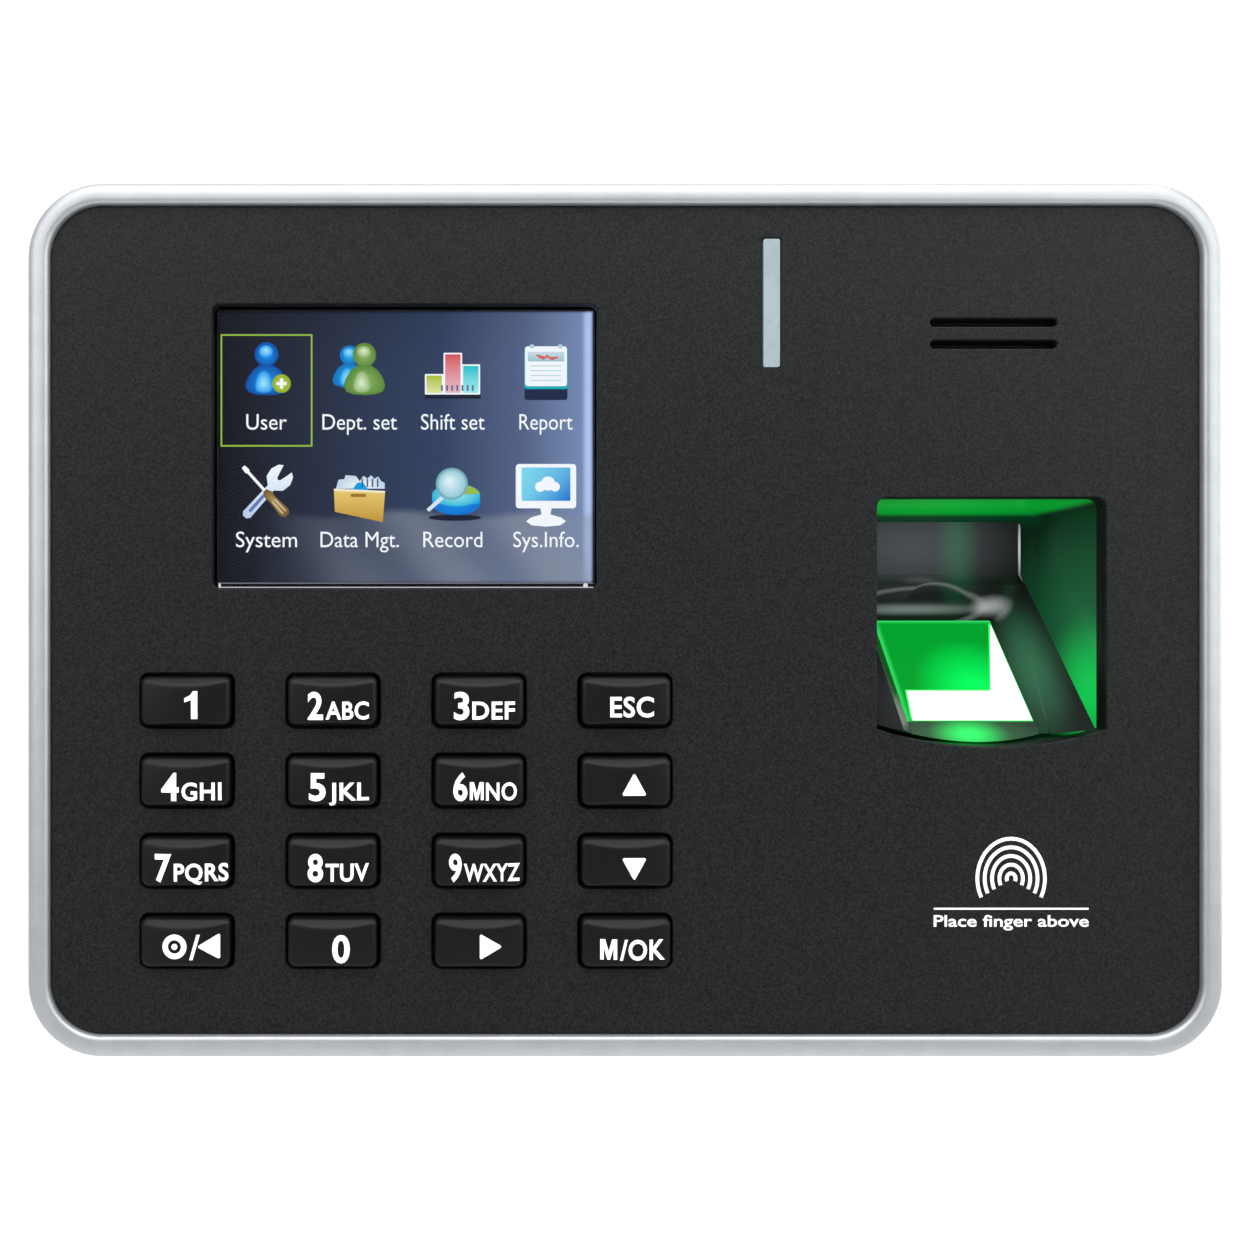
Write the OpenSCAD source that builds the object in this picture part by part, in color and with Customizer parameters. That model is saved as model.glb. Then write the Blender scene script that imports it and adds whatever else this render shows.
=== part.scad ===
// Fingerprint time and access terminal, hung on a steel wall plate.
// Every piece is drawn as if the terminal lay on its back: X to the right, Y up the wall,
// Z out of the wall, with the wall at Z = 0. upright() then stands it up, so that the front
// faces -Y and +Z is up. Millimetres.

/* [Body] */
// Width over the silver frame
body_w = 183; // [182:1:186]
// Height over the silver frame
body_h = 134; // [133:1:137]
// Depth from the wall to the crest of the silver frame
body_d = 38; // [37.5:0.5:39]
// Corner radius of the silver frame
corner_r = 11.8; // [11.5:0.1:13]
// Width of the silver frame, seen from the front
frame_w = 3.8; // [3.6:0.1:4.1]
// Height of the frame's crest above the front panel
frame_lip = 0.9; // [0.6:0.1:1.1]
// Depth of the silver frame from front to back
frame_depth = 11; // [10:0.5:11.5]
// Thickness of the front panel
panel_t = 2.5; // [2.3:0.1:2.8]
// Wall thickness of the rear cover
wall_t = 2.2; // [1.8:0.1:2.4]

/* [Display] */
// Width of the display window
window_w = 58.8; // [57.6:0.1:59.4]
// Height of the display window
window_h = 43.4; // [43.2:0.1:44]
// Window centre, to the right of the panel's middle
window_x = -33.6; // [-34:0.1:-33]
// Window centre, above the panel's middle
window_y = 26.5; // [26:0.1:27]

/* [Keypad] */
// Width of a key
key_w = 13.4; // [12.8:0.1:13.8]
// Height of a key
key_h = 7.4; // [7:0.1:7.8]
// Gap around a key
key_gap = 0.5; // [0.4:0.05:0.6]
// Distance from one key column to the next
key_pitch_x = 22.25; // [22:0.05:22.4]
// Distance from one key row to the next
key_pitch_y = 12.2; // [12:0.05:12.4]
// Middle of the keypad, to the right of the panel's middle
keypad_x = -33.4; // [-34:0.1:-33]
// Middle of the keypad, above the panel's middle
keypad_y = -30.6; // [-31:0.1:-30]
// Height of a key's ends above the panel
key_rise = 1.2; // [1.1:0.1:1.4]
// Extra height of a key's middle
key_crown = 0.7; // [0.4:0.1:0.9]
// Travel of a key
key_travel = 1.1; // [0.8:0.1:1.2]

/* [Finger sensor] */
// Middle of the sensor, to the right of the panel's middle
sensor_x = 55.9; // [55:0.1:56.5]
// Width of the sensor's opening in the panel
well_w = 34.9; // [34.4:0.1:35.4]
// Width of the finger guide
guide_w = 28.8; // [28.4:0.1:29.2]
// Slope of the finger guide from the panel's plane
guide_slope = 40; // [39:0.5:41]
// Width of the sensor glass
glass_w = 20; // [19.4:0.1:20.2]
// Length of the sensor glass along the slope
glass_l = 21.2; // [20.6:0.1:21.4]
// Depth of the finger channel
channel_d = 6.4; // [6.2:0.1:6.6]

/* [Light and sound] */
// Width of the status light
light_w = 2.5; // [2:0.1:3]
// Height of the status light
light_h = 19.5; // [18:0.5:20]
// Length of a speaker slot
slot_w = 19.4; // [18:0.1:20]
// Height of a speaker slot
slot_h = 1.3; // [1:0.1:1.5]

/* [Wall plate] */
// Wall screw spacing across
wall_screws_x = 72; // [68:1:76]
// Wall screw spacing up
wall_screws_y = 52; // [48:1:56]
// Radius of a wall screw hole
wall_hole_r = 2.25; // [2:0.05:2.4]

/* [Hidden] */
$fn = 48;
eps = 0.01;
slip = 0.15;            // gap between two housing pieces
bore_slip = 0.02;       // gap between a screw and its pilot hole

// Heights above the wall
back_z = 0.6;                        // the rear cover's back face
panel_z = body_d - frame_lip;        // the front panel's face
panel_back = panel_z - panel_t;
frame_back = body_d - frame_depth;
ledge_z = panel_z - 2.1;             // the panel's step, under the frame's lip
pocket_z = 4.4;                      // the floor of the wall plate's pocket, seen from behind
pocket_in = pocket_z + wall_t;
board_z = 9.6;                       // the main board's back face
board_t = 1.6;
board_top = board_z + board_t;

// Insets from the outline over the silver frame
cover_in = 0.6;
lip_in = frame_w + slip;
skirt_in = 2 + slip;
tongue_in = lip_in + 0.2;
tongue_t = 1.25;

// Rear cover
edge_r = 4;             // rounding of the back edge
floor_in = 8;           // where the swept wall hands over to the flat floor
floor_t = wall_t;
pocket = [104, 78];     // the wall plate's pocket, across and up
tab_bay = [18, 8, 13];  // the hollow for the plate's screw tab
tab_y = -58;            // middle of that hollow
case_screws = [[-80, 55], [80, 55], [-80, -58], [80, -58], [34, 57], [36, -57]];
boss_top = 16;          // where the rear cover's bosses meet the panel's posts

// Wall plate
plate = [100, 72, 1.5];
hook_x = 30;
hook_y = 20;
lock_z = 7.2;           // height of the locking screw
hook_slot = [14, 8.4];

// Small screws, all alike
screw_r = 1.1;
screw_head_r = 2.1;
screw_head_t = 1.4;
screw_l = 5;

// Keypad stack
keypad_top = 30.2;      // front face of the keypad board
keypad_board = [97, 46];
flange_z = panel_back - 1.2;
contact_t = 0.1;
key_slope_up = 42;      // slope of a key's upper edge
key_slope_low = 58;
key_slope_in = 1.1;     // where those slopes start, from the key's edges
post_xs = [-78.5, keypad_x, 11.5];
post_ys = [keypad_y + key_pitch_y, keypad_y - key_pitch_y];

// Display stack
lens_t = 1.2;
rebate = 1.8;           // how far the lens reaches beyond the window
lens_top = panel_z - 1.5;
glass_top = lens_top - lens_t - 0.8;
module_w = 69.2;
module_h = 50;
display_posts = [[-38.4, 21], [38.4, 21], [-38.4, -21], [38.4, -21]];

// Finger sensor, about the slope's middle line
slope_y = -4.2;
slope_z = 29;
slope_half = 16.05;
well_top = 18.75;
well_bottom = -19.4;
well_arc = 55.8;        // radius of the opening's lower edge
guide_top = 17.1;
guide_bottom = -19;
guide_arc = 42.9;       // radius of the guide's lower end
stop_z = slope_z - slope_half * sin(guide_slope);
well_t = 1.4;
well_base = 16.4;
guide_base = 9.8;
glass_s = 0.6;          // middle of the glass, up the slope
prism_n = -14.2;        // the prism's inner edge, out of the slope
prism_t = 1.6;          // the prism's thickness at its ends
notch = [5.9, -2.6, 8.6];   // the nail notch: up the slope, out of it, radius
led_heights = [19.6, 23];
sensor_lug_x = 21.6;
sensor_lug_y = 14;
lug_t = 1.6;
sensor_posts = [for (x = [-1, 1], y = [1, -1]) [x * sensor_lug_x, y * sensor_lug_y]];

// Light and sound
light_x = 22.3;
light_y = 48.3;
light_board_z = 28.6;   // front face of the status light's board
light_post_x = 5;
speaker_x = 56.2;
speaker_y = 43.7;
slot_pitch = 3.35;
speaker_r = 14;

// Sockets in the bottom edge: middle, width, height above the board, depth
power_x = -62.5;
power = [9, 11, 14];
ethernet_x = -40;
ethernet = [16, 13.4, 21];
usb_x = 21.8;
usb = [13.2, 6.8, 14];
socket_y = -body_h / 2 + cover_in + 0.2;
reset_x = -22;
reset_z = 15.5;
main_board = [105, 92];     // across, up
main_board_x = -22.5;
main_board_y = -16;
board_posts = [[-69, 24], [20, 24], [-71, -46], [24, -40]];
cell_at = [-60, 12];

// Wire centre lines, from the speaker to its plug on the main board
speaker_wire = [
    [44.4, 37.5, 30.2], [44.2, 37.4, 28.9], [43.3, 37, 27.6], [41.5, 36.2, 26.4],
    [39, 35, 24.6], [36.5, 33, 21.6], [34, 30, 18.6], [31.5, 27, 16.2],
    [28.5, 23, 15], [25.5, 18.5, 14.4], [22.5, 14, 14], [20, 11, 13.9], [18, 8.6, 13.9]
];

KEYS = [
    ["key_1", 0, 0], ["key_2", 1, 0], ["key_3", 2, 0], ["key_esc", 3, 0],
    ["key_4", 0, 1], ["key_5", 1, 1], ["key_6", 2, 1], ["key_up", 3, 1],
    ["key_7", 0, 2], ["key_8", 1, 2], ["key_9", 2, 2], ["key_down", 3, 2],
    ["key_left", 0, 3], ["key_0", 1, 3], ["key_right", 2, 3], ["key_ok", 3, 3]
];

// ---------- shared shapes ----------

function arc(cx, cy, rx, ry, from, to, steps) =
    [for (i = [0:steps]) let (a = from + (to - from) * i / steps) [cx + rx * cos(a), cy + ry * sin(a)]];

function key_at(column, row) =
    [keypad_x + (column - 1.5) * key_pitch_x, keypad_y - (row - 1.5) * key_pitch_y];

// A point on the slope: s up the slope, n out of it, as [y, z]
function on_slope(s, n) = [
    slope_y + s * cos(guide_slope) + n * sin(guide_slope),
    slope_z - s * sin(guide_slope) + n * cos(guide_slope)
];

module upright() rotate([90, 0, 0]) children();

module on_sensor() translate([sensor_x, 0, 0]) children();

// Works in the slope's own directions: X across, Y up the slope, Z out of it
module slanted() on_sensor() translate([0, slope_y, slope_z]) rotate([-guide_slope, 0, 0]) children();

module rounded(w, h, r) {
    square([w - 2 * r, h], center = true);
    square([w, h - 2 * r], center = true);
    for (x = [-1, 1], y = [-1, 1]) translate([x * (w / 2 - r), y * (h / 2 - r)]) circle(r);
}

// A slot with round ends
module slotted(w, h) {
    square([w - h, h], center = true);
    for (x = [-1, 1]) translate([x * (w - h) / 2, 0]) circle(h / 2);
}

module slab(from, to) translate([0, 0, from]) linear_extrude(to - from) children();

// The outline of the body, moved inwards
module body_outline(inset) rounded(body_w - 2 * inset, body_h - 2 * inset, corner_r - inset);

// Carries a section round the body's outline. In the section, X = 0 is the outline and Y is height.
module round_body() {
    for (i = [0:3]) rotate(90 * i) {
        long = i % 2 == 0;
        side = (long ? body_w : body_h) / 2;
        half = (long ? body_h : body_w) / 2;
        translate([side, 0, 0]) rotate([90, 0, 0])
            linear_extrude(2 * (half - corner_r), center = true) children();
        translate([side - corner_r, half - corner_r, 0])
            rotate_extrude(angle = 90) translate([corner_r, 0]) children();
    }
}

// A bar whose section is drawn in (Y, Z), reaching half to each side of X = 0
module across(half) rotate([90, 0, 90]) linear_extrude(2 * half, center = true) children();

module tube(r_out, r_in, from, to) difference() {
    slab(from, to) circle(r_out);
    slab(from - eps, to + eps) circle(r_in);
}

// A screw that points towards the front, its head's inner face at z
module screw(r, head_r, head_t, length, z) {
    translate([0, 0, z]) cylinder(h = length, r = r);
    difference() {
        translate([0, 0, z - head_t]) cylinder(h = head_t, r = head_r);
        for (a = [0, 90]) rotate(a)
            translate([-head_r * 0.6, -head_r * 0.12, z - head_t - eps])
                cube([head_r * 1.2, head_r * 0.24, head_t * 0.5]);
    }
}

module small_screw(z) screw(screw_r, screw_head_r, screw_head_t, screw_l, z);

// A flat cable: its middle line in (Y, Z), its width across X
function side_step(p, i) =
    let (a = p[max(i - 1, 0)], b = p[min(i + 1, len(p) - 1)], d = b - a) [-d[1], d[0]] / norm(d);

module ribbon(points, width, t = 0.3) across(width / 2)
    polygon(concat(
        [for (i = [0:len(points) - 1]) points[i] + side_step(points, i) * t / 2],
        [for (i = [len(points) - 1:-1:0]) points[i] - side_step(points, i) * t / 2]
    ));

// A round wire along a list of points
module wire(points, r, sides = 8) {
    n = len(points);
    rings = [for (i = [0:n - 1])
        let (d = points[min(i + 1, n - 1)] - points[max(i - 1, 0)],
             along = d / norm(d),
             u0 = cross(along, [0, 0, 1]),
             u = u0 / norm(u0),
             v = cross(along, u))
        for (k = [0:sides - 1]) points[i] + r * (u * cos(360 * k / sides) + v * sin(360 * k / sides))];
    walls = [for (i = [0:n - 2], k = [0:sides - 1])
        let (a = i * sides + k, b = i * sides + (k + 1) % sides) [a, a + sides, b + sides, b]];
    ends = [[for (k = [0:sides - 1]) k], [for (k = [sides - 1:-1:0]) (n - 1) * sides + k]];
    polyhedron(points = rings, faces = concat(walls, ends));
}

// ---------- wall plate ----------

module wall_plate() color("silver") {
    difference() {
        slab(0, plate[2]) rounded(plate[0], plate[1], 4);
        for (x = [-1, 1], y = [-1, 1])
            translate([x * wall_screws_x / 2, y * wall_screws_y / 2, -1]) cylinder(h = 4, r = wall_hole_r);
    }
    for (x = [-1, 1]) translate([x * hook_x, 0, 0]) hook();
    screw_tab();
}

module hook() {
    translate([-6, hook_y, plate[2] - eps]) cube([12, plate[2], 6.9]);
    translate([-6, hook_y, 6.9]) cube([12, 5, plate[2]]);
}

// A strip that runs down from the plate to a tab with the locking screw's hole
module screw_tab() {
    difference() {
        union() {
            translate([-6, tab_y - 1.5, 0]) cube([12, -tab_y - plate[1] / 2 + 2, plate[2]]);
            translate([-6, tab_y - 1.5, 0]) cube([12, plate[2], 11]);
        }
        translate([0, tab_y, lock_z]) rotate([90, 0, 0])
            cylinder(h = 6, r = 1.5 + bore_slip, center = true);
    }
}

module plate_lock_screw() color("dimgray")
    translate([0, -body_h / 2 + cover_in + 2.4, lock_z]) rotate([-90, 0, 0])
        screw(1.5, 2.6, 1.8, 9, 0);

// ---------- housing ----------

module cover_section() {
    o = -cover_in;
    polygon(concat(
        arc(o - edge_r, back_z + edge_r, edge_r, edge_r, 0, -90, 8),
        [[-floor_in, back_z], [-floor_in, back_z + floor_t]],
        arc(o - edge_r, back_z + edge_r, edge_r - wall_t, edge_r - wall_t, -90, 0, 4),
        [[o - wall_t, frame_back - 5], [-tongue_in - tongue_t, frame_back - 3],
         [-tongue_in - tongue_t, frame_back + 2.5], [-tongue_in, frame_back + 2.5],
         [-tongue_in, frame_back - slip], [o, frame_back - slip]]
    ));
}

module rear_cover() color("#202022") difference() {
    union() {
        round_body() cover_section();
        slab(back_z, back_z + floor_t) body_outline(floor_in - 0.5);
        slab(back_z, pocket_in) rounded(pocket[0] + 2 * wall_t, pocket[1] + 2 * wall_t, 5);
        slab(back_z, tab_bay[2] + 1.6) translate([0, tab_y])
            square([tab_bay[0] + 3.2, tab_bay[1] + 3.2], center = true);
        for (p = case_screws) translate(p) slab(back_z, boss_top) circle(4);
        for (p = board_posts) translate(p) slab(back_z + eps, board_z) circle(2.6);
    }
    // the wall plate's pocket, its slots and its screw tab's hollow
    slab(-1, pocket_z) rounded(pocket[0], pocket[1], 3);
    for (x = [-1, 1]) translate([x * hook_x, hook_y + 1.8 - hook_slot[1] / 2, 0])
        slab(-1, pocket_in + 1) square(hook_slot, center = true);
    slab(-1, tab_bay[2]) translate([0, tab_y]) square([tab_bay[0], tab_bay[1]], center = true);
    slab(-1, pocket_z) translate([0, (tab_y - pocket[1] / 2) / 2]) square([tab_bay[0], 20], center = true);
    translate([0, -body_h / 2 - 1, lock_z]) rotate([-90, 0, 0]) {
        cylinder(h = 14, r = 1.65);
        cylinder(h = 1 + cover_in + 2.4, r = 2.9);
    }
    // screws from behind
    for (p = case_screws) translate(p) {
        slab(-1, boss_top - 2) circle(3.1);
        slab(-1, boss_top + 1) circle(1.7);
    }
    for (p = board_posts) translate(p) slab(5.6, board_z + 1) circle(screw_r + bore_slip);
    // sockets in the bottom edge
    socket_hole(power_x, power);
    socket_hole(ethernet_x, ethernet);
    socket_hole(usb_x, usb);
    translate([reset_x, -body_h / 2, reset_z]) rotate([-90, 0, 0]) cylinder(h = 8, r = 1.5, center = true);
    // the label's shallow bed
    translate([-70, 0, 0]) slab(-1, back_z + 0.2) rounded(22.4, 60.4, 1.2);
}

module socket_hole(x, size) translate([x - size[0] / 2 - 0.2, -body_h / 2 - 1, board_top - 0.2])
    cube([size[0] + 0.4, 9, size[1] + 0.4]);

module bezel_section() polygon(concat(
    [[0, frame_back]],
    arc(-frame_w + 0.5, body_d - 4, frame_w - 0.5, 4, 0, 90, 14),
    [[-frame_w, panel_z + 0.1], [-frame_w, ledge_z + 0.2], [-2, ledge_z + 0.2], [-2, frame_back]]
));

module bezel_frame() color("silver") round_body() bezel_section();

// The opening over the finger sensor, grown all round
module well_plan(grow) intersection() {
    translate([0, (well_top - 30) / 2]) rounded(well_w + 2 * grow, well_top + 30 + 2 * grow, 1.5 + grow);
    translate([0, well_bottom + well_arc]) circle(well_arc + grow, $fn = 160);
}

module panel_openings() {
    translate([window_x, window_y, 0]) {
        slab(panel_back - 1, panel_z + 1) rounded(window_w, window_h, 1.2);
        slab(panel_back - 1, lens_top) rounded(window_w + 2 * rebate, window_h + 2 * rebate, 2);
    }
    for (k = KEYS) translate(key_at(k[1], k[2]))
        slab(panel_back - 1, panel_z + 1) rounded(key_w + 2 * key_gap, key_h + 2 * key_gap, 1.3);
    on_sensor() slab(panel_back - 1, panel_z + 1) well_plan(0);
    translate([light_x, light_y, 0])
        slab(panel_back - 1, panel_z + 1) rounded(light_w + 0.3, light_h + 0.3, 0.4);
    for (y = [-0.5, 0.5]) translate([speaker_x, speaker_y + y * slot_pitch, 0])
        slab(panel_back - 1, panel_z + 1) slotted(slot_w, slot_h);
}

// A post behind the panel, with a pilot hole for a screw
module post(r, hole_r, from) difference() {
    slab(from, panel_back + eps) circle(r);
    slab(from - eps, from + 8) circle(hole_r);
}

module front_panel() color("#26262a") {
    difference() {
        union() {
            slab(frame_back + slip, ledge_z) body_outline(skirt_in);
            slab(ledge_z - 0.2, panel_z) body_outline(lip_in);
        }
        slab(frame_back, panel_back) body_outline(lip_in);
        panel_openings();
    }
    for (p = case_screws) translate(p) post(3.5, 1.3, boss_top + 0.1);
    for (x = post_xs, y = post_ys) translate([x, y]) post(2.2, screw_r + bore_slip, keypad_top);
    translate([window_x, window_y]) for (p = display_posts) translate(p)
        post(2.4, screw_r + bore_slip, glass_top - 2.8);
    on_sensor() for (p = sensor_posts) translate(p) post(2.6, screw_r + bore_slip, well_base + lug_t);
    translate([speaker_x, speaker_y]) tube(speaker_r + 1.5, speaker_r + 0.3, panel_back - 4, panel_back + eps);
    for (x = [-1, 1]) translate([light_x + x * light_post_x, light_y]) {
        slab(light_board_z, panel_back + eps) circle(1.6);
        slab(light_board_z - 1.4, light_board_z + eps) circle(0.7);
    }
}

module housing_screws() color("dimgray")
    for (p = case_screws) translate(p) screw(1.3 - bore_slip, 2.8, 1.8, 8, boss_top - 2);

module board_screws() color("gainsboro") {
    for (x = post_xs, y = post_ys) translate([x, y]) small_screw(keypad_top - board_t);
    translate([window_x, window_y]) for (p = display_posts) translate(p) small_screw(glass_top - 4);
    on_sensor() for (p = sensor_posts) translate(p) small_screw(well_base - lug_t);
    for (p = board_posts) translate([p[0], p[1], 2 * board_top]) rotate([180, 0, 0]) small_screw(board_top);
}

module rating_label() color("whitesmoke")
    translate([-70, 0, 0]) slab(back_z + 0.03, back_z + 0.2) rounded(22, 60, 1);

// ---------- display ----------

module display_window() color("white", 0.3) translate([window_x, window_y, 0])
    slab(lens_top - lens_t, lens_top) rounded(window_w + 2 * rebate - 0.3, window_h + 2 * rebate - 0.3, 1.8);

module display_gasket() color("#101010") translate([window_x, window_y, 0])
    slab(glass_top, glass_top + 0.8) difference() {
        rounded(window_w + 2 * rebate - 1, window_h + 2 * rebate - 1, 1.5);
        square([window_w - 0.4, window_h - 0.2], center = true);
    }

module display_panel() color("#101420") translate([window_x, window_y, 0])
    slab(glass_top - 1.6, glass_top) square([window_w + 3, window_h + 3], center = true);

module display_frame() color("lightgray") translate([window_x, window_y, 0]) difference() {
    union() {
        slab(glass_top - 4, glass_top - 0.2) rounded(module_w, module_h, 1);
        for (p = display_posts) translate(p) slab(glass_top - 4, glass_top - 2.8) circle(2.8);
        for (x = [-1, 1], y = [-1, 1]) translate([x * 35.5, y * 21])
            slab(glass_top - 4, glass_top - 2.8) square([6, 5], center = true);
    }
    slab(glass_top - 1.6, glass_top + 1) square([window_w + 3.2, window_h + 3.2], center = true);
    for (p = display_posts) translate(p) slab(glass_top - 5, glass_top) circle(screw_r + 0.1);
}

module display_flex() color("orange") translate([window_x, 0, 0]) ribbon([
    [window_y + 18, glass_top - 4.2], [window_y + 8, glass_top - 4.2], [window_y + 4, glass_top - 4.8],
    [window_y + 1, glass_top - 7], [window_y, glass_top - 11], [window_y - 1, 17],
    [window_y - 3, 14.2], [window_y - 7, board_top + 1.7], [window_y - 12, board_top + 1.5]
], 20);

// ---------- keypad ----------

module keycap(column, row) color("#2c2c30") translate(key_at(column, row)) {
    top = panel_z + key_rise + key_crown;
    sag = ((key_w / 2) ^ 2 + key_crown ^ 2) / (2 * key_crown);
    difference() {
        intersection() {
            slab(flange_z + 0.4, top + 1) rounded(key_w, key_h, 1);
            translate([0, 0, top - sag]) rotate([90, 0, 0]) cylinder(h = 20, r = sag, center = true, $fn = 200);
        }
        // slopes along the upper and lower edges
        for (side = [[1, key_slope_up], [-1, key_slope_low]]) translate([0, side[0] * (key_h / 2 - key_slope_in), top])
            rotate([-side[0] * side[1], 0, 0]) translate([-10, -6, 0]) cube([20, 12, 6]);
    }
    slab(flange_z, panel_back - 0.15) rounded(key_w + 2.2, key_h + 2.2, 1.6);
    slab(keypad_top + contact_t + key_travel, flange_z + eps) rounded(9.6, 5.2, 1);
}

module keypad_mat() color("#3a3a3c") {
    base = keypad_top + 1;
    difference() {
        union() {
            slab(keypad_top, base) translate([keypad_x, keypad_y]) rounded(83, 45, 2);
            for (k = KEYS) translate(key_at(k[1], k[2]))
                slab(base - eps, flange_z - key_travel - 0.1) rounded(12.4, 8, 1.6);
        }
        for (k = KEYS) translate(key_at(k[1], k[2])) slab(keypad_top - 1, base + 4) rounded(10.4, 6, 1.2);
        for (y = post_ys) translate([keypad_x, y]) slab(keypad_top - 1, base + 4) circle(2.4);
    }
}

module keypad_board() color("darkgreen") difference() {
    slab(keypad_top - board_t, keypad_top) translate([keypad_x, keypad_y])
        rounded(keypad_board[0], keypad_board[1], 1.5);
    for (x = post_xs, y = post_ys) translate([x, y]) slab(keypad_top - 3, keypad_top + 1) circle(screw_r + 0.1);
}

module keypad_contacts() color("gold") for (k = KEYS)
    translate(key_at(k[1], k[2])) slab(keypad_top, keypad_top + contact_t) rounded(8.4, 4.8, 1);

module keypad_ribbon() color("whitesmoke") translate([keypad_x - 20, 0, 0]) ribbon([
    [keypad_y + 18, keypad_top - board_t - 0.2], [keypad_y + 21, keypad_top - board_t - 0.4],
    [keypad_y + 23.5, keypad_top - 4], [keypad_y + 24.5, keypad_top - 8], [keypad_y + 24.5, 18],
    [keypad_y + 23.5, 14.4], [keypad_y + 21, board_top + 1.9], [keypad_y + 17, board_top + 1.5]
], 12);

// ---------- finger sensor ----------

// The finger guide's outline, grown all round
module guide_plan(grow) intersection() {
    translate([0, (guide_top - 30) / 2]) rounded(guide_w + 2 * grow, guide_top + 30 + 2 * grow, 1 + grow);
    translate([0, guide_bottom + guide_arc]) circle(guide_arc + grow, $fn = 160);
}

// The two lugs that a sensor piece's screws go through
module sensor_lugs(from) {
    for (p = sensor_posts) translate(p) slab(from, from + lug_t) circle(3.2);
    for (y = [sensor_lug_y, -sensor_lug_y]) translate([0, y]) slab(from, from + lug_t)
        square([2 * sensor_lug_x, 5], center = true);
}

module sensor_screw_holes() for (p = sensor_posts) translate(p)
    slab(well_base - 2 * lug_t, well_base + 2 * lug_t) circle(screw_r + 0.1);

module sensor_well() color("#14361c") difference() {
    union() {
        on_sensor() slab(well_base, panel_back) well_plan(well_t);
        on_sensor() sensor_lugs(well_base);
    }
    on_sensor() slab(well_base + lug_t, panel_back + 1) well_plan(0);
    on_sensor() slab(well_base - 1, panel_back) guide_plan(0.2);
    on_sensor() sensor_screw_holes();
}

module finger_guide() color("#1b1d1f") {
    top = on_slope(slope_half, 0);
    low = on_slope(-slope_half, 0);
    // the roof of the hollow under the glass, at its upper end, its middle and its lower end
    roof_up = on_slope(12.2, -channel_d - prism_t);
    roof_mid = on_slope(-7.2, -channel_d - prism_t);
    roof_low = on_slope(-10.7, -channel_d - prism_t);
    difference() {
        union() {
            intersection() {
                on_sensor() slab(guide_base, low[1] + 2) guide_plan(0);
                on_sensor() across(guide_w) polygon([
                    [guide_top + 1, guide_base - 1], [guide_top + 1, stop_z], [top[0], stop_z],
                    low, [low[0] - 1.2, low[1] - 0.3], [guide_bottom - 0.2, low[1] - 1.9],
                    [guide_bottom - 1, guide_base - 1]
                ]);
            }
            on_sensor() sensor_lugs(well_base - lug_t);
        }
        slanted() finger_channel();
        slanted() translate([0, glass_s, -channel_d - 2])
            cube([glass_w + 0.2, glass_l + 0.2, 8], center = true);
        on_sensor() across(12.4) polygon([
            [roof_mid[0], guide_base - 1], roof_mid, roof_up, [15.3, roof_up[1]], [15.3, guide_base - 1]
        ]);
        on_sensor() across(8.6) polygon([
            [roof_low[0], guide_base - 1], roof_low, roof_mid, roof_mid + [0.2, 0],
            [roof_mid[0] + 0.2, guide_base - 1]
        ]);
        on_sensor() sensor_screw_holes();
    }
}

// A solid through rows of [half width, up the slope, out of the slope]
module through_rows(rows) hull() for (r = rows) translate([-r[0], r[1], r[2]]) cube([2 * r[0], eps, eps]);

// A flat-floored trough whose sides lean outwards in two facets, and a rounded notch for the nail at its top
module finger_channel() {
    half = glass_w / 2 + 0.1;
    end = glass_s + glass_l / 2 + 0.1;
    through_rows([
        [half, -22, -channel_d], [half, -22, 8],
        [half, end, -channel_d], [13, end + 1.1, -2.5], [13, end + 5.2, 8]
    ]);
    through_rows([
        [half, -22, -5.5], [guide_w / 2, -22, 0], [18, -22, 8],
        [13, end + 1.1, -2.5], [guide_w / 2, end + 2.3, 0], [18, end + 5.2, 8]
    ]);
    translate([0, notch[0], notch[1]]) cylinder(h = 10, r = notch[2]);
}

module sensor_prism() color("lime", 0.6) slanted() translate([0, glass_s, 0]) across(glass_w / 2) polygon([
    [-glass_l / 2, -channel_d], [glass_l / 2, -channel_d], [glass_l / 2, -channel_d - prism_t],
    [1.2, prism_n], [-1.2, prism_n], [-glass_l / 2, -channel_d - prism_t]
]);

module sensor_led_board() color("darkgreen") on_sensor()
    translate([-7.5, -17.4, 18.4]) cube([15, 1, 8.2]);

module sensor_leds() color("palegreen") on_sensor()
    for (x = [-5, -1.7, 1.7, 5], z = led_heights) translate([x - 0.8, -16.4, z]) cube([1.6, 0.5, 1.6]);

module sensor_lens() color("#202020") on_sensor() translate([0, -5, 0]) {
    slab(guide_base, 14.2) circle(4);
    slab(14.2 - eps, 15.4) circle(3);
}

module sensor_camera_board() color("darkgreen") on_sensor() translate([0, -1, 0])
    slab(guide_base - 1.4, guide_base) rounded(26, 31, 1);

module sensor_cable() color("whitesmoke") translate([0, 4, 0]) rotate(90) ribbon([
    [-46, guide_base - 1.55], [-40, guide_base - 1.55], [-36.5, 8.6], [-34.4, 9.6], [-32.6, 11.4],
    [-30.6, 12.8], [-28, 13], [-24, board_top + 1.5]
], 9);

// ---------- light and sound ----------

module status_light_guide() color("whitesmoke") translate([light_x, light_y, 0]) {
    slab(panel_back - 1, panel_z + 0.1) rounded(light_w, light_h, 0.3);
    slab(panel_back - 1.2, panel_back - 0.05) rounded(light_w + 2, light_h + 1.5, 0.6);
}

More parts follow.
